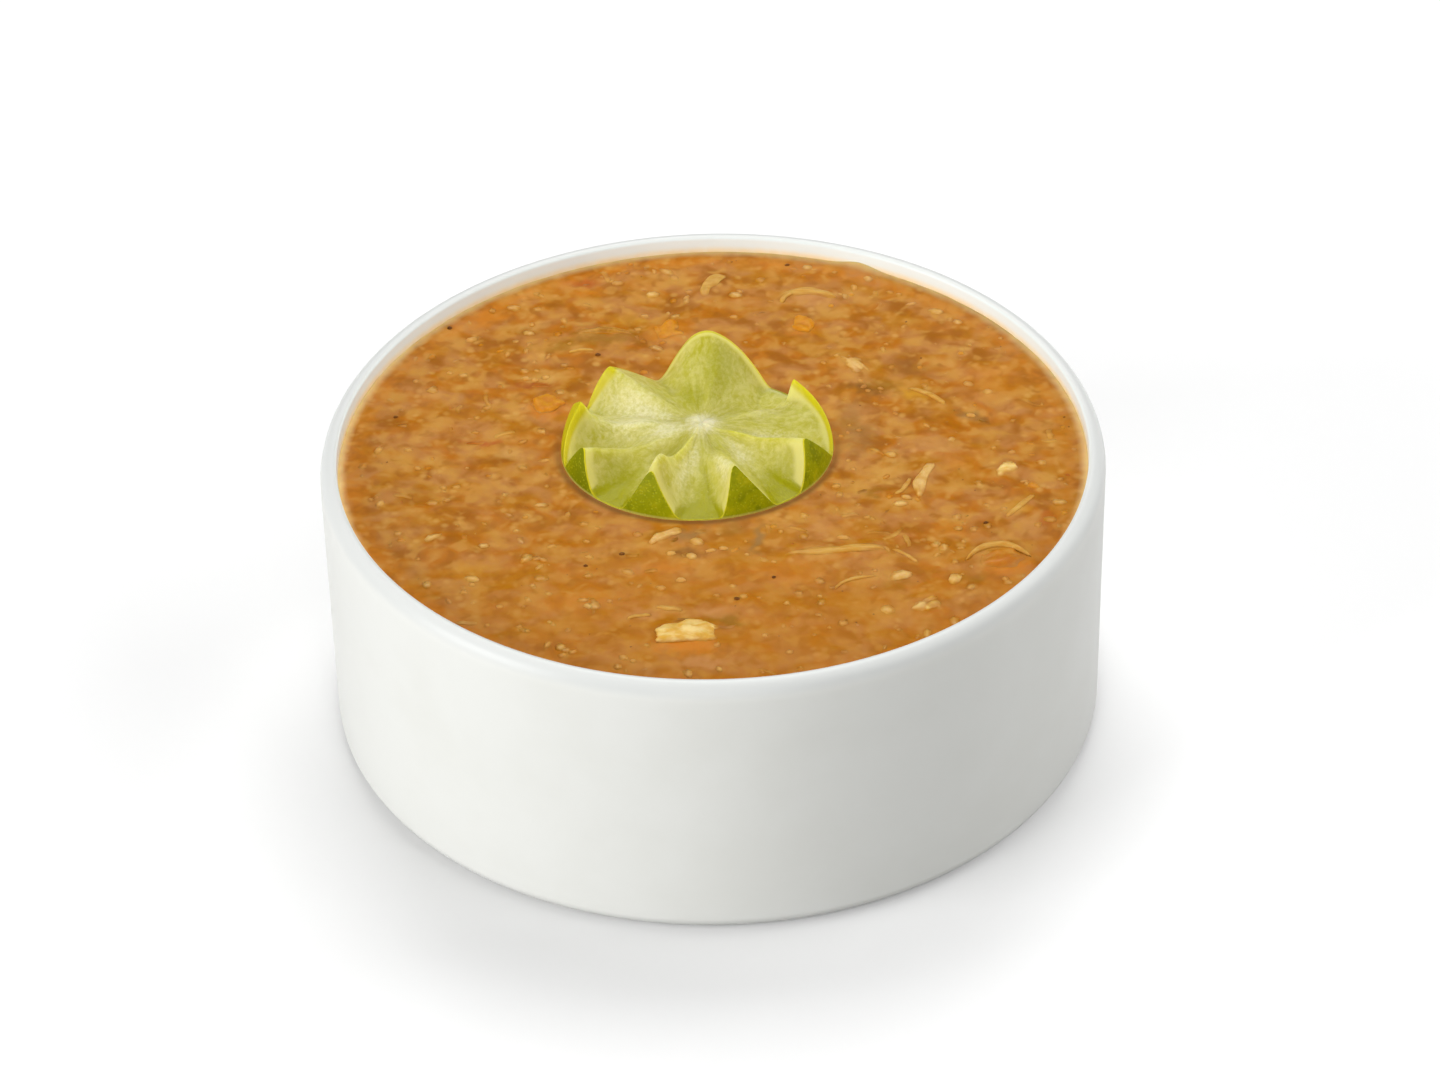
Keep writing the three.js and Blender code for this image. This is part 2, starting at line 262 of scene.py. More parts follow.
    def mix(self, share: object, first: object, second: object) -> bpy.types.NodeSocket:
        """Mix two colours.

        Args:
            share: How much of the second there is.
            first: A colour or socket.
            second: A colour or socket.

        Returns:
            The mixed colour.
        """
        node = self.add("ShaderNodeMix", data_type="RGBA")
        self.feed(node, 0, share)
        self.feed(node, 6, first)
        self.feed(node, 7, second)
        return node.outputs[2]

    def coats(self, colour: object, *coats: tuple[bpy.types.NodeSocket, float, float, float, object],
              ) -> bpy.types.NodeSocket:
        """Lay coats of colour over one another, each where its pattern goes from low to high.

        Args:
            colour: The colour under them all.
            *coats: Each coat's pattern, low, high, greatest share and colour.

        Returns:
            The colour on top.
        """
        for pattern, low, high, most, over in coats:
            colour = self.mix(self.span(pattern, low, high, 0, most), colour, over)
        return colour

    def bump(self, height: bpy.types.NodeSocket, depth: float,
             under: bpy.types.NodeSocket | None = None) -> bpy.types.NodeSocket:
        """Make a bumpy normal.

        Args:
            height: The pattern, from 0 to 1.
            depth: Its depth in millimetres.
            under: A bumpy normal that this one lies on.

        Returns:
            The normal.
        """
        node = self.add("ShaderNodeBump")
        node.inputs["Distance"].default_value = depth * METRES_PER_MM
        self.feed(node, "Height", height)
        if under is not None:
            self.feed(node, "Normal", under)
        return node.outputs["Normal"]

    def finish(self, colour: object, normal: bpy.types.NodeSocket | None = None) -> bpy.types.Material:
        """Give the surface its colour and normal.

        Args:
            colour: A colour or socket.
            normal: The bumpy normal, if there is one.

        Returns:
            The material.
        """
        self.feed(self.surface, "Base Color", colour)
        if normal is not None:
            self.feed(self.surface, "Normal", normal)
        return self.material


@dataclass(frozen=True)
class CeramicGlaze:
    """White glaze over fired clay, a thin soup film on the wall above the soup, and painted light inside.
    """

    colour: Colour = (0.860, 0.866, 0.826)
    shade: Colour = (0.835, 0.840, 0.795)
    # inside wall painted cooler and paler: painted light that offsets the soup's warm bounce light
    inside: Colour = (0.835, 0.935, 0.955)
    # the lip's top is greyer: partly thinner glaze there, partly painted shade that dims the brightly lit
    # lip
    rim_thin_glaze_and_shade: Colour = (0.745, 0.760, 0.740)
    film: Colour = srgb(244, 216, 164)
    roughness: float = 0.35
    cloud_size: float = 22.0
    wave_size: float = 9.0
    wave_depth: float = 0.05
    pin_mark_spacing: float = 7.0
    film_patch_size: float = 3.0

    def material(self) -> bpy.types.Material:
        """Make the glaze's material.

        Returns:
            The material.
        """
        shader = Shader("white_glaze", Roughness=self.roughness, Specular_IOR_Level=0.3)
        colour = shader.coats(self.colour,
                              (shader.noise(self.cloud_size, detail=4), 0.35, 0.7, 1.0, self.shade),
                              (shader.cells(self.pin_mark_spacing), 0.1, 0.03, 0.12, self.shade))
        # painted light: the inside wall is tinted cooler and paler than the outside
        colour = shader.mix(shader.own("inner"), colour, self.inside)
        # the lip's top is greyer: thin glaze and painted shade
        colour = shader.mix(shader.own("top"), colour, self.rim_thin_glaze_and_shade)
        patchy = shader.span(shader.noise(self.film_patch_size, detail=2), 0.3, 0.6, 0.75, 1.0)
        colour = shader.mix(shader.maths("MULTIPLY", shader.own("wetting"), patchy), colour, self.film)
        waves = shader.noise(self.wave_size, detail=1)
        return shader.finish(colour, shader.bump(waves, self.wave_depth))


@dataclass(frozen=True)
class SoupFinish:
    """Thick puree of orange and tan shades with fine pale grains in it."""

    body: Colour = srgb(180, 113, 7)
    orange: Colour = srgb(183, 108, 0)
    tan: Colour = srgb(200, 143, 60)
    rose: Colour = srgb(185, 124, 60)
    brown: Colour = srgb(159, 93, 2)
    grain: Colour = srgb(216, 167, 84)
    patch_size: float = 10.0
    drift_size: float = 5.2
    blotch_size: float = 2.8
    grain_size: float = 2.1
    grain_crowd_size: float = 4.5
    roughness: float = 0.42
    ripple_size: float = 2.4
    ripple_depth: float = 0.07

    def pattern(self, shader: Shader) -> bpy.types.NodeSocket:
        """Add the puree's colours to a shader.

        Args:
            shader: The shader that takes them.

        Returns:
            The colour.
        """
        patches = shader.noise(self.patch_size, detail=1)
        rosy = shader.noise(self.patch_size * 0.7, detail=1, where=shader.place((1, 1.4, 1)))
        drifts = shader.noise(self.drift_size, detail=1.5, roughness=0.5, warp=0.3)
        blotches = shader.noise(self.blotch_size, detail=1, roughness=0.5, warp=0.3)
        colour = shader.coats(
            self.body, (patches, 0.42, 0.56, 1.0, self.orange), (rosy, 0.44, 0.6, 0.85, self.rose),
            (drifts, 0.48, 0.74, 0.9, self.tan), (drifts, 0.48, 0.28, 0.9, self.brown),
            (blotches, 0.48, 0.74, 0.8, self.tan), (blotches, 0.48, 0.26, 0.65, self.brown))
        dots = shader.span(shader.cells(self.grain_size), 0.5, 0.1)
        crowds = shader.span(shader.noise(self.grain_crowd_size, detail=1), 0.48, 0.64, 0.0, 0.5)
        return shader.mix(shader.maths("MULTIPLY", dots, crowds), colour, self.grain)

    def material(self) -> bpy.types.Material:
        """Make the material of the soup's own surface, with its painted patches.

        Returns:
            The material.
        """
        shader = Shader("thick_soup", Roughness=self.roughness, Specular_IOR_Level=0.08,
                        Subsurface_Weight=0.35, Subsurface_Scale=0.001,
                        Subsurface_Radius=(1.0, 0.45, 0.15))
        painted = shader.own("patch", "Color")
        colour = shader.mix(shader.own("patch", "Alpha"), self.pattern(shader), painted)
        ripples = shader.noise(self.ripple_size, detail=2)
        return shader.finish(colour, shader.bump(ripples, self.ripple_depth))


@dataclass(frozen=True)
class FoodFinish:
    """A cooked piece that the soup wets: its own colour on top, the soup's at its foot."""

    name: str
    light: Colour
    dark: Colour
    grain_stretch: tuple[float, float, float] = (1, 1, 1)
    cloud_size: float = 1.6
    film: float = 0.15
    film_height: float = 0.3
    depth: float = 0.08
    roughness: float = 0.42
    soup: SoupFinish = field(default_factory=SoupFinish)

    def material(self) -> bpy.types.Material:
        """Make the piece's material.

        Returns:
            The material.
        """
        shader = Shader(self.name, Roughness=self.roughness, Specular_IOR_Level=0.1,
                        Subsurface_Weight=0.35, Subsurface_Scale=0.0007,
                        Subsurface_Radius=(1.0, 0.6, 0.25))
        clouds = shader.noise(self.cloud_size, where=shader.place(self.grain_stretch))
        colour = shader.coats(self.dark, (clouds, 0.32, 0.68, 1.0, self.light))
        colour = shader.mix(shader.maths("MULTIPLY", shader.own("tone"), 0.6), colour, self.dark)
        wet = shader.span(shader.own("above"), -0.05, self.film_height, 1.0, self.film)
        colour = shader.mix(wet, colour, self.soup.pattern(shader))
        return shader.finish(colour, shader.bump(clouds, self.depth))


@dataclass(frozen=True)
class LimeFinish:
    """Rind with oil pits outside; thin rind edge, pith and streaky pulp on the cut faces."""

    rind: Colour = srgb(146, 150, 0)
    # rind tones; the pale one and the dark one also give the painted light and painted shade on the rind
    rind_pale_tone_and_light: Colour = srgb(204, 190, 22)
    rind_dark_tone_and_shade: Colour = srgb(108, 116, 0)
    pore: Colour = srgb(176, 178, 26)
    # pale band on the rind just above the soup: the soup's wet film, with a painted highlight on its
    # meniscus
    film: Colour = srgb(206, 188, 100)
    rind_edge: Colour = srgb(190, 180, 26)
    pith: Colour = srgb(208, 202, 118)
    pulp: Colour = srgb(178, 172, 56)
    pulp_pale: Colour = srgb(200, 193, 108)
    pulp_green: Colour = srgb(160, 156, 14)
    frost: Colour = srgb(232, 226, 184)
    cloud_size: float = 3.2
    speckle_size: float = 0.7
    pit_size: float = 0.6
    pit_depth: float = 0.06
    streak_size: float = 0.42
    streak_depth: float = 0.2
    vesicle_size: float = 1.1
    vesicle_depth: float = 0.12

    def rind_material(self) -> bpy.types.Material:
        """Make the rind's material.

        Returns:
            The material.
        """
        shader = Shader("lime_rind", Roughness=0.45, Specular_IOR_Level=0.1, Subsurface_Weight=0.15,
                        Subsurface_Scale=0.001, Subsurface_Radius=(0.5, 0.6, 0.1))
        clouds, pits = shader.noise(self.cloud_size, detail=4), shader.cells(self.pit_size)
        painted_light_and_shade, above = shader.own("painted_light_and_shade"), shader.own("above")
        colour = shader.coats(self.rind, (clouds, 0.5, 0.68, 0.35, self.rind_pale_tone_and_light),
                              (clouds, 0.48, 0.34, 0.6, self.rind_dark_tone_and_shade))
        # painted light and shade on the rind: lighter on the side toward the light at the left, darker at
        # the front left
        colour = shader.coats(shader.mix(painted_light_and_shade, colour, self.rind_pale_tone_and_light),
                              (painted_light_and_shade, 0.0, -1.0, 1.0, self.rind_dark_tone_and_shade), (pits, 0.45, 0.1, 0.5, self.pore),
                              # pale band just above the soup: soup film with a painted meniscus highlight
                              (above, 0.6, 0.25, 0.5, self.film))
        return shader.finish(colour, shader.bump(shader.span(pits, 0.45, 0.1), -self.pit_depth))

    def flesh_material(self) -> bpy.types.Material:
        """Make the cut faces' material.

        Returns:
            The material.
        """
        shader = Shader("lime_flesh", Roughness=0.36, Specular_IOR_Level=0.13, Subsurface_Weight=0.85,
                        Subsurface_Scale=0.005, Subsurface_Radius=(1.0, 0.9, 0.45))
        around = shader.own("grain", "Vector")
        streaks = shader.noise(self.streak_size, detail=4, roughness=0.7, where=around, warp=0.3)
        vesicles = shader.cells(self.vesicle_size, where=around)
        speckle = shader.span(shader.noise(self.speckle_size, roughness=0.7), 0.3, 0.7, -0.16, 0.16)
        frost = shader.maths("ADD", shader.own("frost"), speckle)
        colour = shader.coats(
            self.pulp, (streaks, 0.36, 0.66, 1.0, self.pulp_pale),
            (vesicles, 0.25, 0.7, 0.3, self.pulp_pale),
            (frost, 0.0, -1.0, 1.0, self.pulp_green), (frost, 0.0, 1.0, 1.0, self.frost),
            (shader.own("inward"), 2.3, 1.2, 0.9, self.pith),
            (shader.own("skinward"), 0.42, 0.22, 1.0, self.rind_edge))
        streaky = shader.bump(streaks, self.streak_depth)
        return shader.finish(colour, shader.bump(vesicles, self.vesicle_depth, streaky))


# Making pieces


def settle(bm: bmesh.types.BMesh, name: str, materials: Sequence[bpy.types.Material],
           nodes: Iterable[str]) -> bpy.types.Object:
    """Turn a mesh in millimetres into a finished piece of the object.

    Args:
        bm: The mesh, which is used up.
        name: The piece's name.
        materials: Its materials, in the order of its faces' material numbers.
        nodes: The solids that it stands for.

    Returns:
        The piece.
    """
    bmesh.ops.scale(bm, vec=(METRES_PER_MM,) * 3, verts=bm.verts)
    for face in bm.faces:
        face.smooth = True
    mesh = bpy.data.meshes.new(name)
    bm.to_mesh(mesh)
    bm.free()
    for material in materials:
        mesh.materials.append(material)
    piece = bpy.data.objects.new(name, mesh)
    bpy.context.scene.collection.objects.link(piece)
    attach(piece, BODY)
    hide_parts(*nodes)
    LOG.info("%s: %d faces, for %s", name, len(mesh.polygons), ", ".join(nodes))
    return piece


def arc(centre: tuple[float, float], radii: tuple[float, float], start: float, end: float,
        steps: int) -> list[tuple[float, float]]:
    """Give points along part of an ellipse.

    Args:
        centre: Its centre.
        radii: Its half width and half height.
        start: The first angle in degrees.
        end: The last angle in degrees.
        steps: How many steps there are between them.

    Returns:
        The points.
    """
    angles = [math.radians(start + (end - start) * i / steps) for i in range(steps + 1)]
    return [(centre[0] + radii[0] * math.cos(a), centre[1] + radii[1] * math.sin(a)) for a in angles]


@dataclass
class Bowl:
    """A straight-sided bowl with a rounded lip and a low foot ring."""

    height: float = 53.5
    rim_radius: float = 69.0
    base_radius: float = 68.6
    mouth_radius: float = 66.0
    corner_radius: float = 64.8
    lip_outer: tuple[float, float] = (2.2, 3.5)
    lip_inner: float = 0.7
    base_round: float = 3.1
    foot_inner_radius: float = 60.0
    foot_step: float = 1.2
    recess: float = 1.5
    floor: float = 5.0
    floor_round: float = 8.0
    turn_steps: int = 288
    film_heights: tuple[float, float] = (51.9, 50.1)
    film_rows: tuple[float, ...] = (52.4, 52.0, 51.6, 51.2, 50.8, 50.4, 49.6)
    glaze: CeramicGlaze = field(default_factory=CeramicGlaze)

    def profile(self) -> list[tuple[float, float]]:
        """Give the wall's outline from the middle of the underside round to the inside.

        Returns:
            Pairs of radius and height.
        """
        foot, floor_round, lip_in = self.foot_inner_radius, self.floor_round, self.lip_inner
        lip_wide, lip_deep = self.lip_outer
        side_steps = 6
        side = [
            (self.base_radius + (self.rim_radius - self.base_radius) * i / side_steps,
             self.base_round + (self.height - lip_deep - self.base_round) * i / side_steps)
            for i in range(1, side_steps)
        ]
        corner = self.corner_radius - floor_round
        return [
            (0.0, self.recess), (foot / 2, self.recess), (foot - 0.3, self.recess),
            (foot, self.recess - 0.1), (foot + self.foot_step, 0.15), (foot + self.foot_step + 0.3, 0.0),
            *arc((self.base_radius - self.base_round, self.base_round), (self.base_round,) * 2,
                 -90, 0, 10),
            *side,
            *arc((self.rim_radius - lip_wide, self.height - lip_deep), self.lip_outer, 0, 90, 14),
            *arc((self.mouth_radius + lip_in, self.height - lip_in), (lip_in,) * 2, 90, 180, 6)[1:],
            *((self.inside_radius(height), height) for height in self.film_rows),
            *arc((corner, self.floor + floor_round), (floor_round,) * 2, 0, -90, 12),
            (corner / 2, self.floor), (0.0, self.floor),
        ]

    def inside_radius(self, height: float) -> float:
        """Give the radius of the inside at a height above its rounded corner.

        Args:
            height: Height above the surface that the bowl stands on.

        Returns:
            The radius.
        """
        low = self.floor + self.floor_round
        share = (height - low) / (self.height - self.lip_inner - low)
        return self.corner_radius + (self.mouth_radius - self.corner_radius) * share

    def build(self) -> bpy.types.Object:
        """Spin the profile into the bowl.

        Returns:
            The bowl's piece.
        """
        bm = bmesh.new()
        inner, wetting, top = (bm.verts.layers.float.new(name) for name in ("inner", "wetting", "top"))
        points = [bm.verts.new((radius, 0, height)) for radius, height in self.profile()]
        lines = [bm.edges.new(pair) for pair in zip(points, points[1:])]
        bmesh.ops.spin(bm, geom=points + lines, cent=(0, 0, 0), axis=(0, 0, 1), angle=math.tau,
                       steps=self.turn_steps, use_merge=True)
        bmesh.ops.remove_doubles(bm, verts=bm.verts, dist=1e-4)
        for vert in bm.verts:
            radius = math.hypot(vert.co.x, vert.co.y)
            # the inside, which the glaze paints cooler and paler as painted light, and which the soup
            # film wets
            if vert.co.z > self.floor - 0.1:
                vert[inner] = smooth_step(radius, self.mouth_radius + 0.6, self.mouth_radius + 0.1)
            vert[wetting] = vert[inner] * (0.06 + 0.94 * smooth_step(vert.co.z, *self.film_heights))
            # the lip's top, which the glaze paints greyer: thin glaze and painted shade
            vert[top] = (1 - vert[inner]) * smooth_step(vert.co.z, self.height - 3.2, self.height - 1.2)
        bmesh.ops.recalc_face_normals(bm, faces=bm.faces)
        return settle(bm, "bowl_glazed", [self.glaze.material()], ["bowl"])


# Lime half with a zigzag cut


@dataclass(frozen=True)
class Tooth:
    """One tooth of the zigzag cut: the headings of its feet and tip, and its tip's height.

    curve is the half height of the skin's curve under it, and bulge is how far the cuts on
    its two sides swell, as a slope seen from the core.
    """

    start: float
    tip: float
    height: float
    end: float
    curve: float
    bulge: tuple[float, float] = (0.0, 0.0)


@dataclass(frozen=True)
class Spot:
    """A soft spot on the cut faces, by its heading and distance from the core.

    spread is how wide it is in degrees and reach how long it is. amount is a dent's depth, or
    how whitish a patch of pith is. Below 0 it is a swelling, or a greener patch.
    """

    heading: float
    distance: float
    spread: float
    reach: float
    amount: float

    def at(self, heading: float, distance: float) -> float:
        """Give how much of the spot there is at a place.

        Args:
            heading: The heading in degrees.
            distance: The distance from the core.

        Returns:
            The whole amount at the spot's middle, and less beside it.
        """
        turn = turn_between(heading, self.heading) / self.spread
        away = (distance - self.distance) / self.reach
        return self.amount * math.exp(-turn * turn - away * away)


@dataclass
class LimeCrown:
    """The lime half: a rounded body met by planes that all pass through its core.

    dome is the rounded back tooth: its heading and spread, and how far its ridge is evened out.
    slit is the narrow gap between two teeth: its heading, spread, start and depth. wide_rind,
    thin_pith and painted_rind_shade are places along the headings, each a middle, spread and amount.
    painted_rind_shade darkens the rind there as painted shade, and the rind is painted lighter toward
    painted_light_heading as painted light.
    """

    soup_level: float
    centre: tuple[float, float] = (-2.7, 3.8)
    half_width: float = 24.1
    half_depth: float = 21.5
    below: float = 21.0
    widest_level: float = -1.0
    core_height: float = 4.6
    core_shift: tuple[float, float] = (0.8, 0.8)
    foot_height: float = 0.12
    around_steps: int = 480
    rings: int = 84
    teeth: tuple[Tooth, ...] = (
        Tooth(-7, 30.7, 7.7, 38, 16.5),
        Tooth(54.5, 87.4, 12.0, 106.5, 36, (0.14, 0.05)),
        Tooth(108.5, 138.3, 8.5, 147, 23),
        Tooth(152, 177.2, 10.1, 191, 20),
        Tooth(193, 204, 7.6, 217, 21),
        Tooth(234, 246, 8.9, 260, 22),
        Tooth(282, 288.4, 10, 307, 23),
        Tooth(322, 332.2, 9, 351, 22),
    )
    rounding: float = 2.0
    blending: float = 16.0
    fading: tuple[float, float] = (-0.2, 0.75)
    dome: tuple[float, float, float, float] = (87.0, 20.0, 6.0, 12.0)
    slit: tuple[float, float, float, float] = (150.0, 3.0, 17.0, 1.2)
    sharp_ridges: tuple[float, ...] = (246.0, 335.0)
    ridge_spread: float = 11.0
    wide_rind: tuple[tuple[float, float, float], ...] = (
        (14.0, 16.0, 2.6), (143.0, 6.0, 5.0), (183.0, 9.0, 3.0), (348.0, 10.0, 1.0))
    thin_pith: tuple[tuple[float, float, float], ...] = (
        (87.0, 25.0, 1.2), (45.0, 12.0, 0.8), (330.0, 10.0, -0.35))
    # painted light on the rind, strongest toward this heading on the left, and painted shade on the rind
    # at the front left
    painted_light_heading: float = 168.0
    painted_rind_shade: tuple[tuple[float, float, float], ...] = ((209.0, 14.0, -0.8), (243.0, 14.0, -0.4))
    dents: tuple[Spot, ...] = (
        Spot(32, 16.5, 16, 5.5, 3.8), Spot(178, 16, 15, 5.0, 3.2), Spot(204, 16, 12, 4.5, 0.7),
        Spot(335, 16, 12, 4.5, 0.5), Spot(112, 11, 14, 6.0, -1.2), Spot(246, 17.4, 8, 2.8, -2.4),
        Spot(228, 8, 12, 3.5, 1.6), Spot(290, 6, 14, 3.0, 0.8),
    )
    frost: tuple[Spot, ...] = (
        Spot(172, 12, 16, 6, 0.65), Spot(150, 12, 16, 8, 0.6), Spot(190, 6, 34, 5, 0.6),
        Spot(262, 9, 7, 5, 0.5), Spot(345, 13, 12, 6, 0.8), Spot(0, 0, 400, 3.4, 1.0),
        Spot(22, 12, 12, 4, 0.3), Spot(335, 8, 12, 5, -0.4), Spot(256, 13, 5, 6, 0.5),
        Spot(285, 15, 6, 8, 0.6), Spot(312, 9, 14, 5, 0.6), Spot(240, 18, 6, 3, 0.6),
        Spot(100, 7, 20, 4.5, -0.8), Spot(76, 12, 14, 8, -0.6), Spot(300, 6, 16, 4, -0.5),
        # the greener spot at heading 229 is painted shade on a steep facet near the core
        Spot(271, 17, 9, 7, -0.8), Spot(229, 8, 12, 4, -0.6), Spot(222, 18, 11, 5, -0.8),
        Spot(314, 18, 11, 4.5, -0.9), Spot(10, 16, 7, 5, -0.3),
    )
    segments: int = 10
    finish: LimeFinish = field(default_factory=LimeFinish)

    def skin_curve(self, heading: float) -> float:
        """Give the half height of the skin's curve, eased from one tooth's tip to the next.

        Args:
            heading: The heading in degrees.

        Returns:
            The half height.
        """
        heading %= 360
        after = next((i for i, tooth in enumerate(self.teeth) if tooth.tip > heading), 0)
        following, last = self.teeth[after], self.teeth[after - 1]
        span = (following.tip - last.tip) % 360
        share = smooth_step(((heading - last.tip) % 360) / span, 0, 1)
        return last.curve + (following.curve - last.curve) * share

    def skin_radius(self, heading: float, height: float) -> float:
        """Give the skin's distance from the lime's axis.

        Args:
            heading: The heading in degrees.
            height: The height above the soup's level.

        Returns:
            The distance.
        """
        rise = height - self.widest_level
        reach = self.skin_curve(heading) if rise > 0 else self.below
        narrowing = math.sqrt(max(1 - (rise / reach) ** 2, 0.0))
        turn = math.radians(heading)
        return narrowing / math.hypot(math.cos(turn) / self.half_width, math.sin(turn) / self.half_depth)

    def corners(self) -> list[tuple[float, float, float]]:
        """Give the zigzag's corners as seen from the core.

        Returns:
            The heading and slope of each, and the bulge of the cut that follows it, in order of
            heading, over one turn.
        """
        found = []
        for tooth in self.teeth:
            for heading, height, bulge in ((tooth.start, self.foot_height, tooth.bulge[0]),
                                           (tooth.tip, tooth.height, tooth.bulge[1]),
                                           (tooth.end, self.foot_height, 0.0)):
                radius = self.skin_radius(heading, height)
                x = radius * math.cos(math.radians(heading)) - self.core_shift[0]
                y = radius * math.sin(math.radians(heading)) - self.core_shift[1]
                found.append((math.degrees(math.atan2(y, x)) % 360,
                              (height - self.core_height) / math.hypot(x, y), bulge))
        return sorted(found)

    @staticmethod
    def slope(corners: Sequence[tuple[float, float, float]], heading: float) -> float:
        """Give the cut's slope from the core at a heading.

        Args:
            corners: The zigzag's corners.
            heading: The heading in degrees.

        Returns:
            The rise for each millimetre away from the core.
        """
        after = next((i for i, corner in enumerate(corners) if corner[0] > heading), 0)
        (high, high_slope, _), (low, low_slope, bulge) = corners[after], corners[after - 1]
        width = math.radians((high - low) % 360)
        along = math.radians((heading - low) % 360)
        flat = (low_slope * math.sin(width - along) + high_slope * math.sin(along)) / math.sin(width)
        return flat + bulge * math.sin(math.pi * along / width)

    def reach(self, heading: float, slope: float) -> float:
        """Give how far the cut goes from the core before it meets the skin.

        Args:
            heading: The heading in degrees.
            slope: The cut's slope there.

        Returns:
            The distance from the core.
        """
        low, high = 0.0, 1.4 * self.half_width
        turn = math.radians(heading)
        for _ in range(30):
            middle = (low + high) / 2
            x = self.core_shift[0] + middle * math.cos(turn)
            y = self.core_shift[1] + middle * math.sin(turn)
            height = self.core_height + slope * middle
            skin = self.skin_radius(math.degrees(math.atan2(y, x)), height)
            low, high = (middle, high) if math.hypot(x, y) < skin else (low, middle)
        return low

    def running_slope(self, corners: Sequence[tuple[float, float, float]]) -> Callable[[float], float]:
        """Sum the cut's slope over the headings, so that its mean over any width is quick to find.

        Args:
            corners: The zigzag's corners.

        Returns:
            A function that gives the sum from 0 degrees up to a heading.
        """
        step = 0.5
        sums = [0.0]
        for number in range(round(360 / step)):
            sums.append(sums[-1] + self.slope(corners, (number + 0.5) * step) * step)
        sums.append(sums[-1])

        def total(heading: float) -> float:
            """Give the sum up to a heading.

            Args:
                heading: The heading in degrees.

            Returns:
                The sum.
            """
            turns, part = divmod(heading, 360)
            low, share = divmod(part / step, 1)
            return turns * sums[-1] + sums[int(low)] * (1 - share) + sums[int(low) + 1] * share

        return total

    def rounding_at(self, heading: float, share: float) -> float:
        """Give over what angle to each side the cut's slope is evened out.

        Args:
            heading: The heading in degrees.
            share: The distance from the core as a share of the way to the skin.

        Returns:
            The angle in degrees, which grows from the skin to the core.
        """
        middle, spread, more, inner = self.dome
        more += inner * min((1 - share) * 4, 1)
        crisp = self.rounding + nearness(heading, middle, spread) * more
        firm = 0.75 * self.near_ridge(heading) * min(share * 3, 1)
        return crisp + (self.blending - crisp) * (1 - share) * (1 - firm)

    def near_ridge(self, heading: float) -> float:
        """Give how near a heading is to one of the sharp ridges, from 0 to 1."""
        return max(nearness(heading, ridge, self.ridge_spread) for ridge in self.sharp_ridges)

    def firmness(self, heading: float, share: float) -> float:
        """Give how much of the zigzag is left in the cut at a place, from 0 to 1."""
        return max(smooth_step(share, *self.fading), 0.9 * self.near_ridge(heading))

    def lowest(self, heading: float, distance: float) -> float:
        """Give the lowest the cut may go: just above the soup, or under it in the slit.

        Args:
            heading: The heading in degrees.
            distance: The distance from the core.

        Returns:
            The height above the soup's level.
        """
        middle, width, start, depth = self.slit
        within = nearness(heading, middle, width, power=4)
        return self.foot_height - depth * within * smooth_step(distance, start, start + 1.5)

    def frost_at(self, heading: float, distance: float) -> float:
        """Give how whitish the cut is at a place, or how green where it is below 0.

        Args:
            heading: The heading in degrees.
            distance: The distance from the core.

        Returns:
            A share from -1 to 1.
        """
        shares = [0.0, *(spot.at(heading, distance) for spot in self.frost)]
        membrane = abs((heading / 360 * self.segments + 0.3) % 1 - 0.5) * 2
        line = smooth_step(membrane, 0.8, 1.0) * smooth_step(distance, 1.5, 5)
        return max(*shares, 0.2 * line) + min(shares)

    def relief(self, heading: float, distance: float, share: float) -> float:
        """Give how far the cut face stands proud of its flat plane.

        Args:
            heading: The heading in degrees.
            distance: The distance from the core.
            share: The distance as a share of the way to the skin.

        Returns:
            The height in millimetres.
        """
        turn = math.radians(heading)
        where = Vector((5.2 * math.cos(turn), 5.2 * math.sin(turn), distance * 0.16))
        strands = noise.noise(where * 1.6) * 0.2 * smooth_step(distance, 2, 9)
        broad = noise.noise(Vector((math.cos(turn) * distance, math.sin(turn) * distance, 7)) * 0.16)
        lip = 0.8 * math.exp(-((distance - 1.4) / 1.5) ** 2) * (0.6 + 0.4 * math.sin(3 * turn + 1))
        hollow = 0.3 * math.sin(math.pi * min(share, 1)) ** 2
        hollow += sum(dent.at(heading, distance) for dent in self.dents)
        fade = smooth_step(1 - share, 0, 0.1)
        return (strands + 0.6 * broad - hollow) * fade + lip

    def shade(self, x: float, y: float) -> float:
        """Give how strong the painted shadow on the soup is in the narrow gap at the lime's side.

        Args:
            x: The place to the right of the bowl's middle.
            y: The place behind the bowl's middle.

        Returns:
            A share from 0 to 1.
        """
        in_front = smooth_step((self.centre[1] - y) / self.half_depth, -0.3, 0.6)
        return (0.4 + 0.5 * in_front) * math.exp(-((self.out_share(x, y) - 1.02) / 0.034) ** 2)

    def out_share(self, x: float, y: float) -> float:
        """Give how far out from the lime's middle a place is, where 1 is at its side."""
        return math.hypot((x - self.centre[0]) / self.half_width, (y - self.centre[1]) / self.half_depth)

    def stillness(self, x: float, y: float) -> float:
        """Give how far the soup may swell at a place, from 0 at the lime's side to 1."""
        return smooth_step(self.out_share(x, y), 1.03, 1.25)

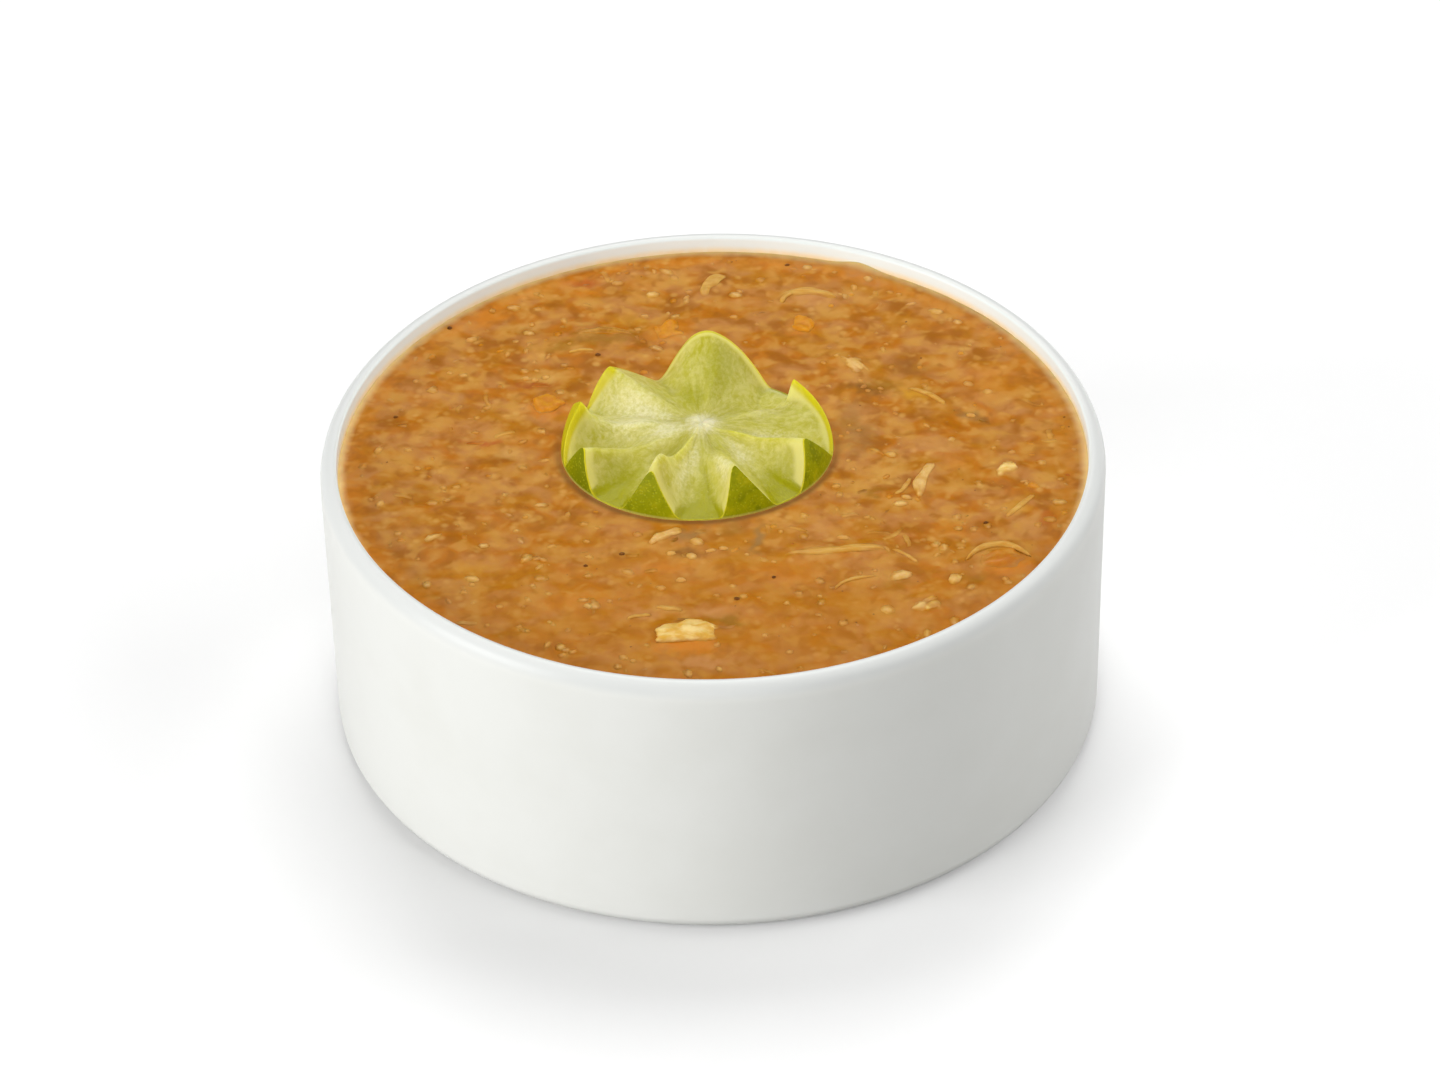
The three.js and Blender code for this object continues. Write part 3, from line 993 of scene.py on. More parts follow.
    def dress_cut(self, vert: bmesh.types.BMVert, layers: dict[str, object], heading: float,
                  distance: float, reach: float) -> None:
        """Give a place on the cut the values that its finish reads.

        Args:
            vert: The place, at its height above the soup's level.
            layers: The layers that hold the values.
            heading: The heading in degrees.
            distance: The distance from the core.
            reach: How far the cut goes from the core to the skin.
        """
        turn = math.radians(heading)
        covered = smooth_step(-math.sin(turn), -0.1, 0.5) * smooth_step(vert.co.z, 1.9, 0.5)
        near_skin = smooth_step(distance, reach - 6, reach - 1)
        pith_thinning = 1 + along_headings(heading, self.thin_pith)
        vert[layers["frost"]] = self.frost_at(heading, distance) - covered * near_skin
        vert[layers["grain"]] = Vector((6 * math.cos(turn), 6 * math.sin(turn), distance * 0.22))
        vert[layers["inward"]] = (reach - distance) * pith_thinning + 2.5 * covered
        vert[layers["skinward"]] = (reach - distance) / (1 + along_headings(heading, self.wide_rind))

    def build(self) -> bpy.types.Object:
        """Roll a grid into the cut lime.

        Half of its rows run from the core to the skin and make the cut faces, and the others
        run down the skin and make the rind.

        Returns:
            The lime's piece.
        """
        bm = bmesh.new()
        layers: dict[str, object] = {
            key: bm.verts.layers.float.new(key)
            for key in ("inward", "skinward", "frost", "painted_light_and_shade", "above")}
        layers["grain"] = bm.verts.layers.float_vector.new("grain")
        columns, rows = self.around_steps, 2 * self.rings
        bmesh.ops.create_grid(bm, x_segments=columns, y_segments=rows, size=0.5)
        corners = self.corners()
        bottom = self.widest_level - self.below
        core_x, core_y = (self.centre[i] + self.core_shift[i] for i in range(2))
        step = 360 / columns
        total = self.running_slope(corners)
        cuts: dict[int, tuple[float, float]] = {}

        def mean_slope(heading: float, share: float) -> float:
            """Give the cut's slope, evened out over the headings beside it.

            Args:
                heading: The heading in degrees.
                share: The distance from the core as a share of the way to the skin.

            Returns:
                The rise for each millimetre away from the core.
            """
            narrow, broad = ((total(heading + width) - total(heading - width)) / (2 * width)
                             for width in (self.rounding_at(heading, share), 30.0))
            return broad + (narrow - broad) * self.firmness(heading, share)

        for vert in bm.verts:
            column = round((vert.co.x + 0.5) * columns) % columns
            if column not in cuts:
                heading = column * step
                near = min(corners, key=lambda corner: abs(turn_between(corner[0], heading)))
                heading = near[0] if abs(turn_between(near[0], heading)) < step / 2 else heading
                cuts[column] = (heading, self.reach(heading, mean_slope(heading, 1.0)))
            heading, reach = cuts[column]
            turn = math.radians(heading)
            share = 2 * round((vert.co.y + 0.5) * rows) / rows
            if share <= 1:
                distance = reach * share
                height = self.core_height + mean_slope(heading, share) * distance
                height += self.relief(heading, distance, share)
                height = max(height, self.lowest(heading, distance))
                vert.co = (core_x + distance * math.cos(turn), core_y + distance * math.sin(turn), height)
                self.dress_cut(vert, layers, heading, distance, reach)
            else:
                edge_height = max(self.core_height + mean_slope(heading, 1.0) * reach, self.foot_height)
                height = edge_height + (bottom - edge_height) * (1 - math.cos((share - 1) * math.pi / 2))
                skin_heading = math.atan2(self.core_shift[1] + reach * math.sin(turn),
                                          self.core_shift[0] + reach * math.cos(turn))
                radius = self.skin_radius(math.degrees(skin_heading), height)
                vert.co = (self.centre[0] + radius * math.cos(skin_heading),
                           self.centre[1] + radius * math.sin(skin_heading), height)
            # painted light and painted shade on the rind, by heading
            painted_light_and_shade = 0.8 * smooth_step(math.cos(turn - math.radians(self.painted_light_heading)), 0.86, 1.0)
            vert[layers["painted_light_and_shade"]] = painted_light_and_shade + along_headings(heading, self.painted_rind_shade)
            vert[layers["above"]] = vert.co.z
            vert.co.z += self.soup_level
        bmesh.ops.remove_doubles(bm, verts=bm.verts, dist=1e-5)
        for face in bm.faces:
            face.material_index = int(any(vert[layers["inward"]] > 1e-6 for vert in face.verts))
        bmesh.ops.recalc_face_normals(bm, faces=bm.faces)
        materials = [self.finish.rind_material(), self.finish.flesh_material()]
        lime = settle(bm, "lime_zigzag_half", materials, ["lime_crown"])
        lime.visible_shadow = False  # soft light from all round lets it throw none
        return lime


# Soup


class Tint(Enum):
    """Shades of the soft patches in the soup's surface, and of the painted shadow at the lime's side."""

    PINK = srgb(198, 138, 74)
    TAN = srgb(206, 152, 68)
    CREAM = srgb(218, 172, 92)
    YELLOW = srgb(206, 148, 36)
    ORANGE = srgb(202, 122, 14)
    RED = srgb(180, 92, 24)
    RUST = srgb(164, 84, 16)
    OLIVE = srgb(158, 106, 10)
    BROWN = srgb(136, 86, 22)
    GOLD = srgb(184, 114, 6)
    GREY = srgb(154, 112, 52)
    # painted shadow in the narrow gap at the lime's side
    PAINTED_SHADOW = srgb(116, 74, 18)
    FILM = srgb(242, 212, 148)


@dataclass(frozen=True)
class Patch:
    """A soft patch of colour just under the soup's surface."""

    tint: Tint
    at: tuple[float, float]
    size: tuple[float, float]
    turn: float
    strength: float

    def shares(self, places: np.ndarray, fine: np.ndarray) -> np.ndarray:
        """Give how strong the patch is at many places.

        Args:
            places: Their x and y, moved a little so that the patch's edge is ragged.
            fine: A fine unevenness at each.

        Returns:
            The strength at each place.
        """
        turn = math.radians(self.turn)
        away = places - np.array(self.at)
        along = away @ np.array([math.cos(turn), math.sin(turn)])
        across = away @ np.array([-math.sin(turn), math.cos(turn)])
        reach = np.hypot(along / self.size[0], across / self.size[1]) * 2
        return (self.strength * np.clip(1.35 - reach + 0.35 * fine, 0, 1)) ** 1.2


@dataclass
class SoupSurface:
    """The soup's top, with its swells, and its side down to the bowl's floor."""

    bowl: Bowl
    level: float = 50.2
    swell: float = 0.34
    edge_calm: float = 5.0
    overlap: float = 0.12
    cells: int = 280
    lump_heights: tuple[float, ...] = (0.22, 0.13, 0.04)
    lump_sizes: tuple[float, ...] = (6.5, 3.1, 1.5)
    wall_climb: float = 0.1
    splash_heading: float = 65.0
    splash_height: float = 1.0
    film_width: float = 1.7
    inset: float = 0.25
    still: list[Callable[[float, float], float]] = field(default_factory=list)
    # where the soup is painted with shadow, from 0 to 1 at each place
    painted_shadows: list[Callable[[float, float], float]] = field(default_factory=list)
    collars: list[Callable[[float, float], float]] = field(default_factory=list)
    finish: SoupFinish = field(default_factory=SoupFinish)
    patches: tuple[Patch, ...] = (
        Patch(Tint.GOLD, (0.0, -48.0), (130, 62), 0, 0.5),
        Patch(Tint.ORANGE, (-5.0, -53.2), (12, 5), 3, 0.95),
        Patch(Tint.OLIVE, (1.5, -46.5), (7, 3), -25, 0.95),
        Patch(Tint.PINK, (-0.5, -43.5), (6, 3), -10, 0.74),
        Patch(Tint.PINK, (-2.0, -57.5), (9, 3), 5, 0.74),
        Patch(Tint.ORANGE, (50.3, -33.0), (9, 5), 15, 0.95),
        Patch(Tint.RUST, (51.5, -31.0), (4, 2.2), 20, 0.81),
        Patch(Tint.OLIVE, (44.0, -36.0), (5, 3), 30, 0.68),
        Patch(Tint.PINK, (55.5, -20.0), (4, 7), -20, 0.68),
        Patch(Tint.RED, (58.0, -19.0), (2.4, 5), -25, 0.61),
        Patch(Tint.GREY, (7.2, -23.5), (2.2, 9), -12, 0.95),
        Patch(Tint.GREY, (-4.0, -21.5), (7, 3), 20, 0.81),
        Patch(Tint.OLIVE, (-9.0, -21.6), (6, 2), 15, 0.94),
        Patch(Tint.OLIVE, (3.5, -20.0), (5, 4), 10, 0.68),
        Patch(Tint.GREY, (26.0, 6.0), (6, 12), -15, 0.54),
        Patch(Tint.PINK, (27.0, 13.0), (6, 8), 10, 0.61),
        Patch(Tint.BROWN, (27.4, 20.6), (8, 3), -15, 0.94),
        Patch(Tint.OLIVE, (30.8, 22.0), (7, 4), -20, 0.81),
        Patch(Tint.GREY, (45.6, 12.4), (4.4, 2.4), -30, 0.81),
        Patch(Tint.BROWN, (48.0, 10.6), (3.4, 1.8), -35, 0.81),
        Patch(Tint.TAN, (31.0, -5.0), (6, 9), -30, 0.74),
        Patch(Tint.CREAM, (31.5, 0.5), (3, 4), 0, 0.54),
        Patch(Tint.OLIVE, (27.5, -11.0), (5, 2.6), 10, 0.81),
        Patch(Tint.TAN, (33.0, -14.0), (5, 3.4), 0, 0.74),
        Patch(Tint.ORANGE, (42.0, -22.0), (9, 5), -30, 0.61),
        Patch(Tint.RED, (33.0, -24.0), (7, 3), -10, 0.54),
        Patch(Tint.OLIVE, (31.0, -37.0), (6, 3), 20, 0.54),
        Patch(Tint.YELLOW, (53.4, -14.6), (7, 3), 50, 0.54),
        Patch(Tint.YELLOW, (36.0, 19.0), (6, 3), -40, 0.81),
        Patch(Tint.OLIVE, (-19.5, 38.6), (14, 4), 4, 0.94),
        Patch(Tint.OLIVE, (-27.0, 36.0), (8, 3), 20, 0.68),
        Patch(Tint.ORANGE, (-7.6, 40.4), (9, 7), 10, 0.94),
        Patch(Tint.YELLOW, (-15.0, 45.0), (8, 4), 0, 0.54),
        Patch(Tint.ORANGE, (-29.0, 17.5), (9, 7), 20, 0.94),
        Patch(Tint.ORANGE, (17.2, 41.0), (7, 5), 0, 0.88),
        Patch(Tint.RUST, (-31.2, 24.2), (8.4, 1.5), -6, 0.95),
        Patch(Tint.RED, (-40.7, 7.2), (7, 1.8), -4, 0.95),
        Patch(Tint.PINK, (-42.6, 10.4), (12, 5), -5, 0.54),
        Patch(Tint.RED, (-22.6, 56.4), (6.4, 3.0), 10, 0.95),
        Patch(Tint.ORANGE, (-22.0, 53.4), (7, 3), 0, 0.81),
        Patch(Tint.CREAM, (-33.0, 43.0), (7, 3), 10, 0.54),
        Patch(Tint.ORANGE, (-40.0, 45.5), (8, 4), 40, 0.81),
        Patch(Tint.ORANGE, (-40.0, 48.5), (6, 3), 40, 0.54),
        Patch(Tint.CREAM, (-30.5, 27.0), (7, 4), 10, 0.47),
        Patch(Tint.PINK, (-13.0, -43.5), (10, 3), 0, 0.68),
        Patch(Tint.TAN, (-8.0, -42.6), (7, 2.4), -8, 0.81),
        Patch(Tint.PINK, (18.0, -21.0), (9, 4), 5, 0.54),
        Patch(Tint.ORANGE, (12.0, -33.0), (16, 7), 0, 0.47),
        Patch(Tint.ORANGE, (-22.0, -40.0), (16, 6), 10, 0.47),
        Patch(Tint.YELLOW, (-42.0, -30.0), (10, 5), 20, 0.41),
        Patch(Tint.TAN, (-39.8, -23.4), (5, 2.6), 20, 0.68),
        Patch(Tint.TAN, (-30.1, -12.0), (5, 3), 0, 0.68),
        Patch(Tint.ORANGE, (50.0, 22.0), (14, 12), 0, 0.41),
        Patch(Tint.PINK, (9.0, 49.0), (14, 5), 5, 0.54),
        Patch(Tint.PINK, (20.0, 50.0), (10, 4), 0, 0.61),
        Patch(Tint.PINK, (40.0, 2.0), (12, 6), -20, 0.47),
        Patch(Tint.PINK, (-52.0, 22.0), (8, 10), 30, 0.41),
        Patch(Tint.ORANGE, (-8.0, -31.0), (12, 4), 12, 0.61),
        Patch(Tint.OLIVE, (-52.0, -8.0), (8, 5), 60, 0.41),
        Patch(Tint.BROWN, (-5.0, -27.0), (5, 3.4), 0, 0.81),
        Patch(Tint.TAN, (27.0, -35.0), (10, 4), 12, 0.61),
        # painted shadow: a dark line along the back edge of the front chicken chunk
        Patch(Tint.BROWN, (-5.2, -46.6), (4, 1.2), -8, 0.95),
        Patch(Tint.GREY, (24.0, 11.0), (5, 14), -10, 0.54),
        Patch(Tint.TAN, (24.5, -9.0), (5, 6), 0, 0.68),
        Patch(Tint.TAN, (-13.0, -25.0), (9, 4), 10, 0.54),
        Patch(Tint.CREAM, (-36.0, 3.0), (6, 3), 0, 0.47),
        Patch(Tint.TAN, (-50.0, 2.0), (5, 4), 30, 0.47),
        Patch(Tint.BROWN, (36.0, 27.0), (10, 5), -30, 0.47),
        Patch(Tint.ORANGE, (44.0, -2.0), (9, 6), 20, 0.47),
    )

    @property
    def radius(self) -> float:
        """Give the surface's radius, a little inside the wall it wets."""
        return self.bowl.inside_radius(self.level) + self.overlap

    def height_at(self, x: float, y: float) -> float:
        """Give the surface's height above the soup's level.

        Args:
            x: The place to the right of the bowl's middle.
            y: The place behind the bowl's middle.

        Returns:
            The height.
        """
        from_wall = self.bowl.inside_radius(self.level) - 0.3 - math.hypot(x, y)
        calm = smooth_step(from_wall, 0, self.edge_calm)
        waves = (math.sin(x / 5.3 + 0.8) * math.cos(y / 6.1 - 0.5)
                 + 0.6 * math.sin((x + y) / 3.7 + 2.1) * math.sin((x - y) / 4.3)
                 + 0.4 * math.cos(x / 2.9 - y / 9.1))
        calm *= min((place(x, y) for place in self.still), default=1.0)
        height = self.swell * calm * waves / 2
        for depth, size in zip(self.lump_heights, self.lump_sizes):
            height += depth * noise.noise(Vector((x / size, y / size, size))) * (0.2 + 0.8 * calm)
        around = math.degrees(math.atan2(y, x)) - self.splash_heading
        near_wall = math.exp(-max(from_wall, 0) / 1.1)
        height += near_wall * self.wall_climb * (1 + 0.8 * noise.noise(Vector((x / 4, y / 4, 9))))
        height += near_wall * self.splash_height * math.exp(-(around / 3.2) ** 2)
        return height + max((collar(x, y) for collar in self.collars), default=0.0)

    def paint(self, bm: bmesh.types.BMesh) -> None:
        """Paint the soft patches, a painted shadow in the gap at the lime's side and the thin film at the
        wall.

        Args:
            bm: The surface.
        """
        layer = bm.verts.layers.float_color.new("patch")
        places = np.array([vert.co[:2] for vert in bm.verts])
        rough = np.array([[noise.noise(Vector((x / 1.9, y / 1.9, z))) for z in (3.3, 23.3, 43.3)]
                          for x, y in places])
        fine = np.array([noise.noise(Vector((x / 0.9, y / 0.9, 5.1))) for x, y in places])
        ragged = places + rough[:, :2] * 1.5
        # painted shadow: the soup is darkened in the narrow gap at the lime's side
        dark = np.array([max((shade(x, y) for shade in self.painted_shadows), default=0.0) for x, y in places])
        from_wall = self.bowl.inside_radius(self.level) - np.hypot(*places.T) + 0.25 * rough[:, 2]
        film = 0.95 * np.clip(1 - from_wall / self.film_width, 0, 1) ** 1.4
        ring = 0.5 * np.exp(-((from_wall - 3.0) / 1.6) ** 2) * np.clip(0.7 + 0.9 * fine, 0, 1)
        coats = [(patch.shares(ragged, fine), patch.tint) for patch in self.patches]
        coats += [(ring, Tint.ORANGE), (dark, Tint.PAINTED_SHADOW), (film, Tint.FILM)]
        colours, shares = np.zeros((len(places), 3)), np.zeros(len(places))
        for share, tint in coats:
            total = share + shares * (1 - share)
            weight = np.divide(share, total, out=np.zeros_like(total), where=total > 0)
            colours += (np.array(tint.value) - colours) * weight[:, None]
            shares = total
        for vert, colour, share in zip(bm.verts, colours, shares):
            vert[layer] = (*colour, share)

    def build(self) -> bpy.types.Object:
        """Shape a grid into the round surface, and draw its edge down inside the bowl.

        Returns:
            The soup's piece.
        """
        bm = bmesh.new()
        bmesh.ops.create_grid(bm, x_segments=self.cells, y_segments=self.cells, size=1)
        radius = self.radius
        for vert in bm.verts:
            x, y = vert.co.x, vert.co.y
            across, along = radius * x * math.sqrt(1 - y * y / 2), radius * y * math.sqrt(1 - x * x / 2)
            vert.co = (across, along, self.level + self.height_at(across, along))
        self.paint(bm)
        edge = [line for line in bm.edges if line.is_boundary]
        for line in edge:
            line.smooth = False
        bowl, inset = self.bowl, self.inset
        corner, floor_round = bowl.corner_radius - bowl.floor_round, bowl.floor_round
        steps = [(self.level - 1.5, bowl.inside_radius(self.level - 1.5) - inset),
                 (bowl.floor + floor_round, bowl.corner_radius - inset)]
        steps += [(z, r) for r, z in arc((corner, bowl.floor + floor_round), (floor_round - inset,) * 2,
                                         0, -90, 6)[1:]]
        for height, reach in steps:
            grown = bmesh.ops.extrude_edge_only(bm, edges=edge)["geom"]
            ring = [part for part in grown if isinstance(part, bmesh.types.BMVert)]
            edge = [part for part in grown if isinstance(part, bmesh.types.BMEdge)]
            for vert in ring:
                share = reach / math.hypot(vert.co.x, vert.co.y)
                vert.co = (vert.co.x * share, vert.co.y * share, height)
        bmesh.ops.contextual_create(bm, geom=edge)
        bmesh.ops.recalc_face_normals(bm, faces=bm.faces)
        return settle(bm, "soup_surface", [self.finish.material()], ["soup"])


# Pieces of food in the soup


class Form(Enum):
    """Forms of the pieces of food."""

    LUMP = "lump"
    DICE = "dice"
    STRIP = "strip"
    FLAKE = "flake"


class Food(Enum):
    """Kinds of food, each with its material slot in the record and its finish."""

    CHICKEN = ("chicken", FoodFinish("cooked_chicken", srgb(246, 218, 140), srgb(226, 177, 72),
                                     (0.6, 1.2, 1), film_height=0.5))
    SHREDS = ("chicken", FoodFinish("chicken_shreds", srgb(216, 172, 88), srgb(204, 152, 62),
                                    (0.6, 1.5, 1), film=0.22))
    ONION = ("onion", FoodFinish("cooked_onion", srgb(228, 188, 114), srgb(212, 162, 78), roughness=0.3))
    TOMATO = ("tomato", FoodFinish("cooked_tomato", srgb(202, 124, 6), srgb(190, 104, 2), roughness=0.34,
                                   film=0.4, film_height=0.5))
    CARROT = ("carrot", FoodFinish("cooked_carrot", srgb(222, 150, 22), srgb(206, 126, 8), film=0.3))
    PEPPER = ("pepper", FoodFinish("cooked_pepper", srgb(200, 146, 54), srgb(160, 106, 20),
                                   roughness=0.34))
    GRAINS = ("onion", FoodFinish("pale_grains", srgb(222, 172, 96), srgb(210, 154, 74), film=0.2,
                                  film_height=0.25))
    HERB = ("pepper", FoodFinish("green_herb", srgb(152, 100, 16), srgb(116, 76, 8), film=0.25,
                                 film_height=0.12))
    SPICE = ("pepper", FoodFinish("dark_spice", srgb(116, 66, 16), srgb(74, 38, 8), film_height=0.08))
    FLAKES = ("tomato", FoodFinish("red_flakes", srgb(190, 84, 30), srgb(164, 66, 18), film=0.4,
                                   film_height=0.12))


@dataclass(frozen=True)
class Bit:
    """One piece of food: where it lies, how large it is and how it is turned.

    size is its length, width and height, turn is the heading of its length in degrees, rise
    is how far its top stands above the soup, and bend is how far a strip's middle bows to its
    left. tone darkens it, from 0 to 1.
    """

    form: Form
    at: tuple[float, float]
    size: tuple[float, float, float]
    turn: float = 0.0
    rise: float = 0.5
    bend: float = 0.0
    tone: float = 0.0
    fineness: int = 1

    def collar(self, climb: float, reach: float) -> Callable[[float, float], float]:
        """Give how high the soup climbs round the piece.

        Args:
            climb: How high it climbs at the piece's side.
            reach: How far from the piece it starts to climb.

        Returns:
            A function of x and y that gives the height.
        """
        turn = math.radians(self.turn)
        half_length, half_width = self.size[0] / 2, self.size[1] / 2

        def height(x: float, y: float) -> float:
            """Give the soup's climb at one place.

            Args:
                x: The place to the right of the bowl's middle.
                y: The place behind the bowl's middle.

            Returns:
                The height.
            """
            dx, dy = x - self.at[0], y - self.at[1]
            if abs(dx) + abs(dy) > 2 * (half_length + reach + 2):
                return 0.0
            along = dx * math.cos(turn) + dy * math.sin(turn)
            share = min(abs(along) / half_length, 1)
            across = dy * math.cos(turn) - dx * math.sin(turn) - self.bend * (1 - share * share)
            outside = math.hypot(max(abs(along) - 0.8 * half_length, 0),
                                 max(abs(across) - 0.8 * half_width, 0))
            return climb * math.exp(-(outside / reach) ** 2)

        return height


class FoodMesh:
    """A mesh that gathers pieces of one kind of food."""

    def __init__(self, soup: SoupSurface, seed: int) -> None:
        """Start an empty mesh.

        Args:
            soup: The soup that the pieces lie in.
            seed: Seed of the pieces' unevenness.
        """
        self.soup = soup
        self.draw = random.Random(seed)
        self.whole = self.empty()
        self.shapes: dict[Form, Callable[[bmesh.types.BMesh, Bit], None]] = {
            Form.LUMP: self.lump,
            Form.DICE: self.dice,
            Form.STRIP: self.strip,
            Form.FLAKE: self.flake,
        }

    @staticmethod
    def empty() -> bmesh.types.BMesh:
        """Start an empty mesh with the values that food's finishes read.

        Returns:
            The mesh.
        """
        bm = bmesh.new()
        for name in ("above", "tone"):
            bm.verts.layers.float.new(name)
        return bm

    def ball(self, bm: bmesh.types.BMesh, bit: Bit, sides: int, steps: int) -> None:
        """Add a ball whose poles lie along the piece's length.

        Args:
            bm: The mesh.
            bit: The piece.
            sides: Columns of faces.
            steps: Rows of faces.
        """
        bmesh.ops.create_uvsphere(bm, u_segments=sides * bit.fineness, v_segments=steps * bit.fineness,
                                  radius=1, matrix=Matrix.Rotation(math.pi / 2, 4, "Y"))

    def anywhere(self) -> Vector:
        """Draw a far place, so that each piece has its own unevenness."""
        return Vector([self.draw.uniform(-50, 50) for _ in range(3)])

    def lump(self, bm: bmesh.types.BMesh, bit: Bit) -> None:
        """Add an uneven lump within a box from -1 to 1.

        Args:
            bm: The mesh.
            bit: The piece.
        """
        self.ball(bm, bit, 8, 5)
        shift = self.anywhere()
        for vert in bm.verts:
            away = vert.co.copy()
            blocky = sum(abs(part) ** 2.6 for part in away) ** (-1 / 2.6)
            swell = 1 + 0.2 * noise.noise(away * 1.2 + shift)
            if bit.fineness > 1:
                swell += 0.16 * noise.noise(away * 2.6 + shift) + 0.08 * noise.noise(away * 6.3 + shift)
            vert.co = away * blocky * swell

    def dice(self, bm: bmesh.types.BMesh, bit: Bit) -> None:
        """Add a cut cube with worn edges within a box from -1 to 1.

        Args:
            bm: The mesh.
            bit: The piece.
        """
        bmesh.ops.create_cube(bm, size=2)
        bmesh.ops.bevel(bm, geom=bm.edges, offset=0.5, segments=4, profile=0.5, affect="EDGES",
                        material=-1)
        bmesh.ops.subdivide_edges(bm, edges=bm.edges, cuts=2 * bit.fineness, use_grid_fill=True)
        shift = self.anywhere()
        for vert in bm.verts:
            large, small = noise.noise(vert.co * 1.1 + shift), noise.noise(vert.co * 3 + shift)
            vert.co *= 1 + 0.25 * large + 0.06 * small

    def strip(self, bm: bmesh.types.BMesh, bit: Bit) -> None:
        """Add a strip with blunt ends and fibres along it within a box from -1 to 1.

        Args:
            bm: The mesh.
            bit: The piece.
        """
        self.ball(bm, bit, 6, 8)
        shift = self.draw.uniform(-50, 50)
        for vert in bm.verts:
            along = math.asin(max(-1.0, min(1.0, vert.co.x))) * 2 / math.pi
            around = math.atan2(vert.co.z, vert.co.y)
            girth = math.sqrt(max(1 - abs(along) ** 4, 0))
            girth *= 1 + 0.22 * noise.noise(Vector((along * 2.2, shift, 0)))
            if bit.fineness > 1:
                across, up = 2.6 * math.cos(around), 2.6 * math.sin(around)
                girth *= 1 + 0.3 * noise.noise(Vector((along * 1.5, across, up + shift)))
            wander = 0.35 * noise.noise(Vector((along * 1.6, shift, 4)))
            vert.co = (along, girth * math.cos(around) + wander, girth * math.sin(around))

    def flake(self, bm: bmesh.types.BMesh, bit: Bit) -> None:
        """Add a thin leaf-like flake with a crumpled edge within a box from -1 to 1.

        Args:
            bm: The mesh.
            bit: The piece.
        """
        self.ball(bm, bit, 7, 4)
        shift = self.anywhere()
        for vert in bm.verts:
            flat = Vector((vert.co.x, vert.co.y, 0))
            ragged = 1 + 0.4 * noise.noise(flat * 1.6 + shift)
            curl = 0.5 * noise.noise(flat * 1.1 + shift)
            vert.co = (vert.co.x * ragged, vert.co.y * ragged, vert.co.z * 0.8 + curl)

    def put(self, bit: Bit) -> None:
        """Add a piece where it lies in the soup.

        Args:
            bit: The piece.
        """
        bm = self.empty()
        self.shapes[bit.form](bm, bit)
        above, tone = (bm.verts.layers.float[name] for name in ("above", "tone"))
        turn = math.radians(bit.turn)
        length, width, height = bit.size
        cosine, sine = math.cos(turn), math.sin(turn)
        soup_here = self.soup.height_at(*bit.at)
        for vert in bm.verts:
            along = vert.co.x * length / 2
            bow = bit.bend * (1 - vert.co.x * vert.co.x)
            across = vert.co.y * width / 2 + bow
            x = bit.at[0] + along * cosine - across * sine
            y = bit.at[1] + along * sine + across * cosine
            if bit.form is Form.STRIP:
                soup_here = self.soup.height_at(bit.at[0] + along * cosine - bow * sine,
                                                bit.at[1] + along * sine + bow * cosine)
            middle = self.soup.level + soup_here + bit.rise - height / 2
            vert.co = (x, y, middle + vert.co.z * height / 2)
            vert[above] = vert.co.z - self.soup.level - self.soup.height_at(x, y)
            vert[tone] = bit.tone
        scrap = bpy.data.meshes.new("scrap")
        bm.to_mesh(scrap)
        bm.free()
        self.whole.from_mesh(scrap)
        bpy.data.meshes.remove(scrap)

    def finish(self, name: str, food: Food, node: str) -> bpy.types.Object:
        """Turn the mesh into a piece.

        Args:
            name: The piece's name.
            food: The kind of food.
            node: The solid that it stands for.

        Returns:
            The piece.
        """
        slot, look = food.value
        bmesh.ops.recalc_face_normals(self.whole, faces=self.whole.faces)
        return settle(self.whole, name, [look.material()], [node])


@dataclass(frozen=True)
class LargePiece:
    """A larger piece of food, which stands for one solid."""

    node: str
    food: Food
    bit: Bit


@dataclass(frozen=True)
class Sprinkle:
    """Small pieces of one kind, strewn over the soup.

    Each size is its smallest and largest. clumping is how unevenly they lie, from 0 to 1.
    """

    name: str
    food: Food
    form: Form
    count: int
    length: tuple[float, float]
    width: tuple[float, float]
    thickness: float
    rise: tuple[float, float]
    clumping: float = 0.5
    bend: float = 0.0
    placed: tuple[Bit, ...] = ()


def lying(form: Form, *rows: Sequence[float]) -> tuple[Bit, ...]:
    """Make pieces of one form from rows of numbers.

    Args:
        form: Their form.
        *rows: Each one's x, y, length, width, height, turn and rise, and where it differs from
            the usual its bend, tone and fineness.

    Returns:
        The pieces.
    """
    return tuple(Bit(form, (x, y), (length, width, height), *more)
                 for x, y, length, width, height, *more in rows)


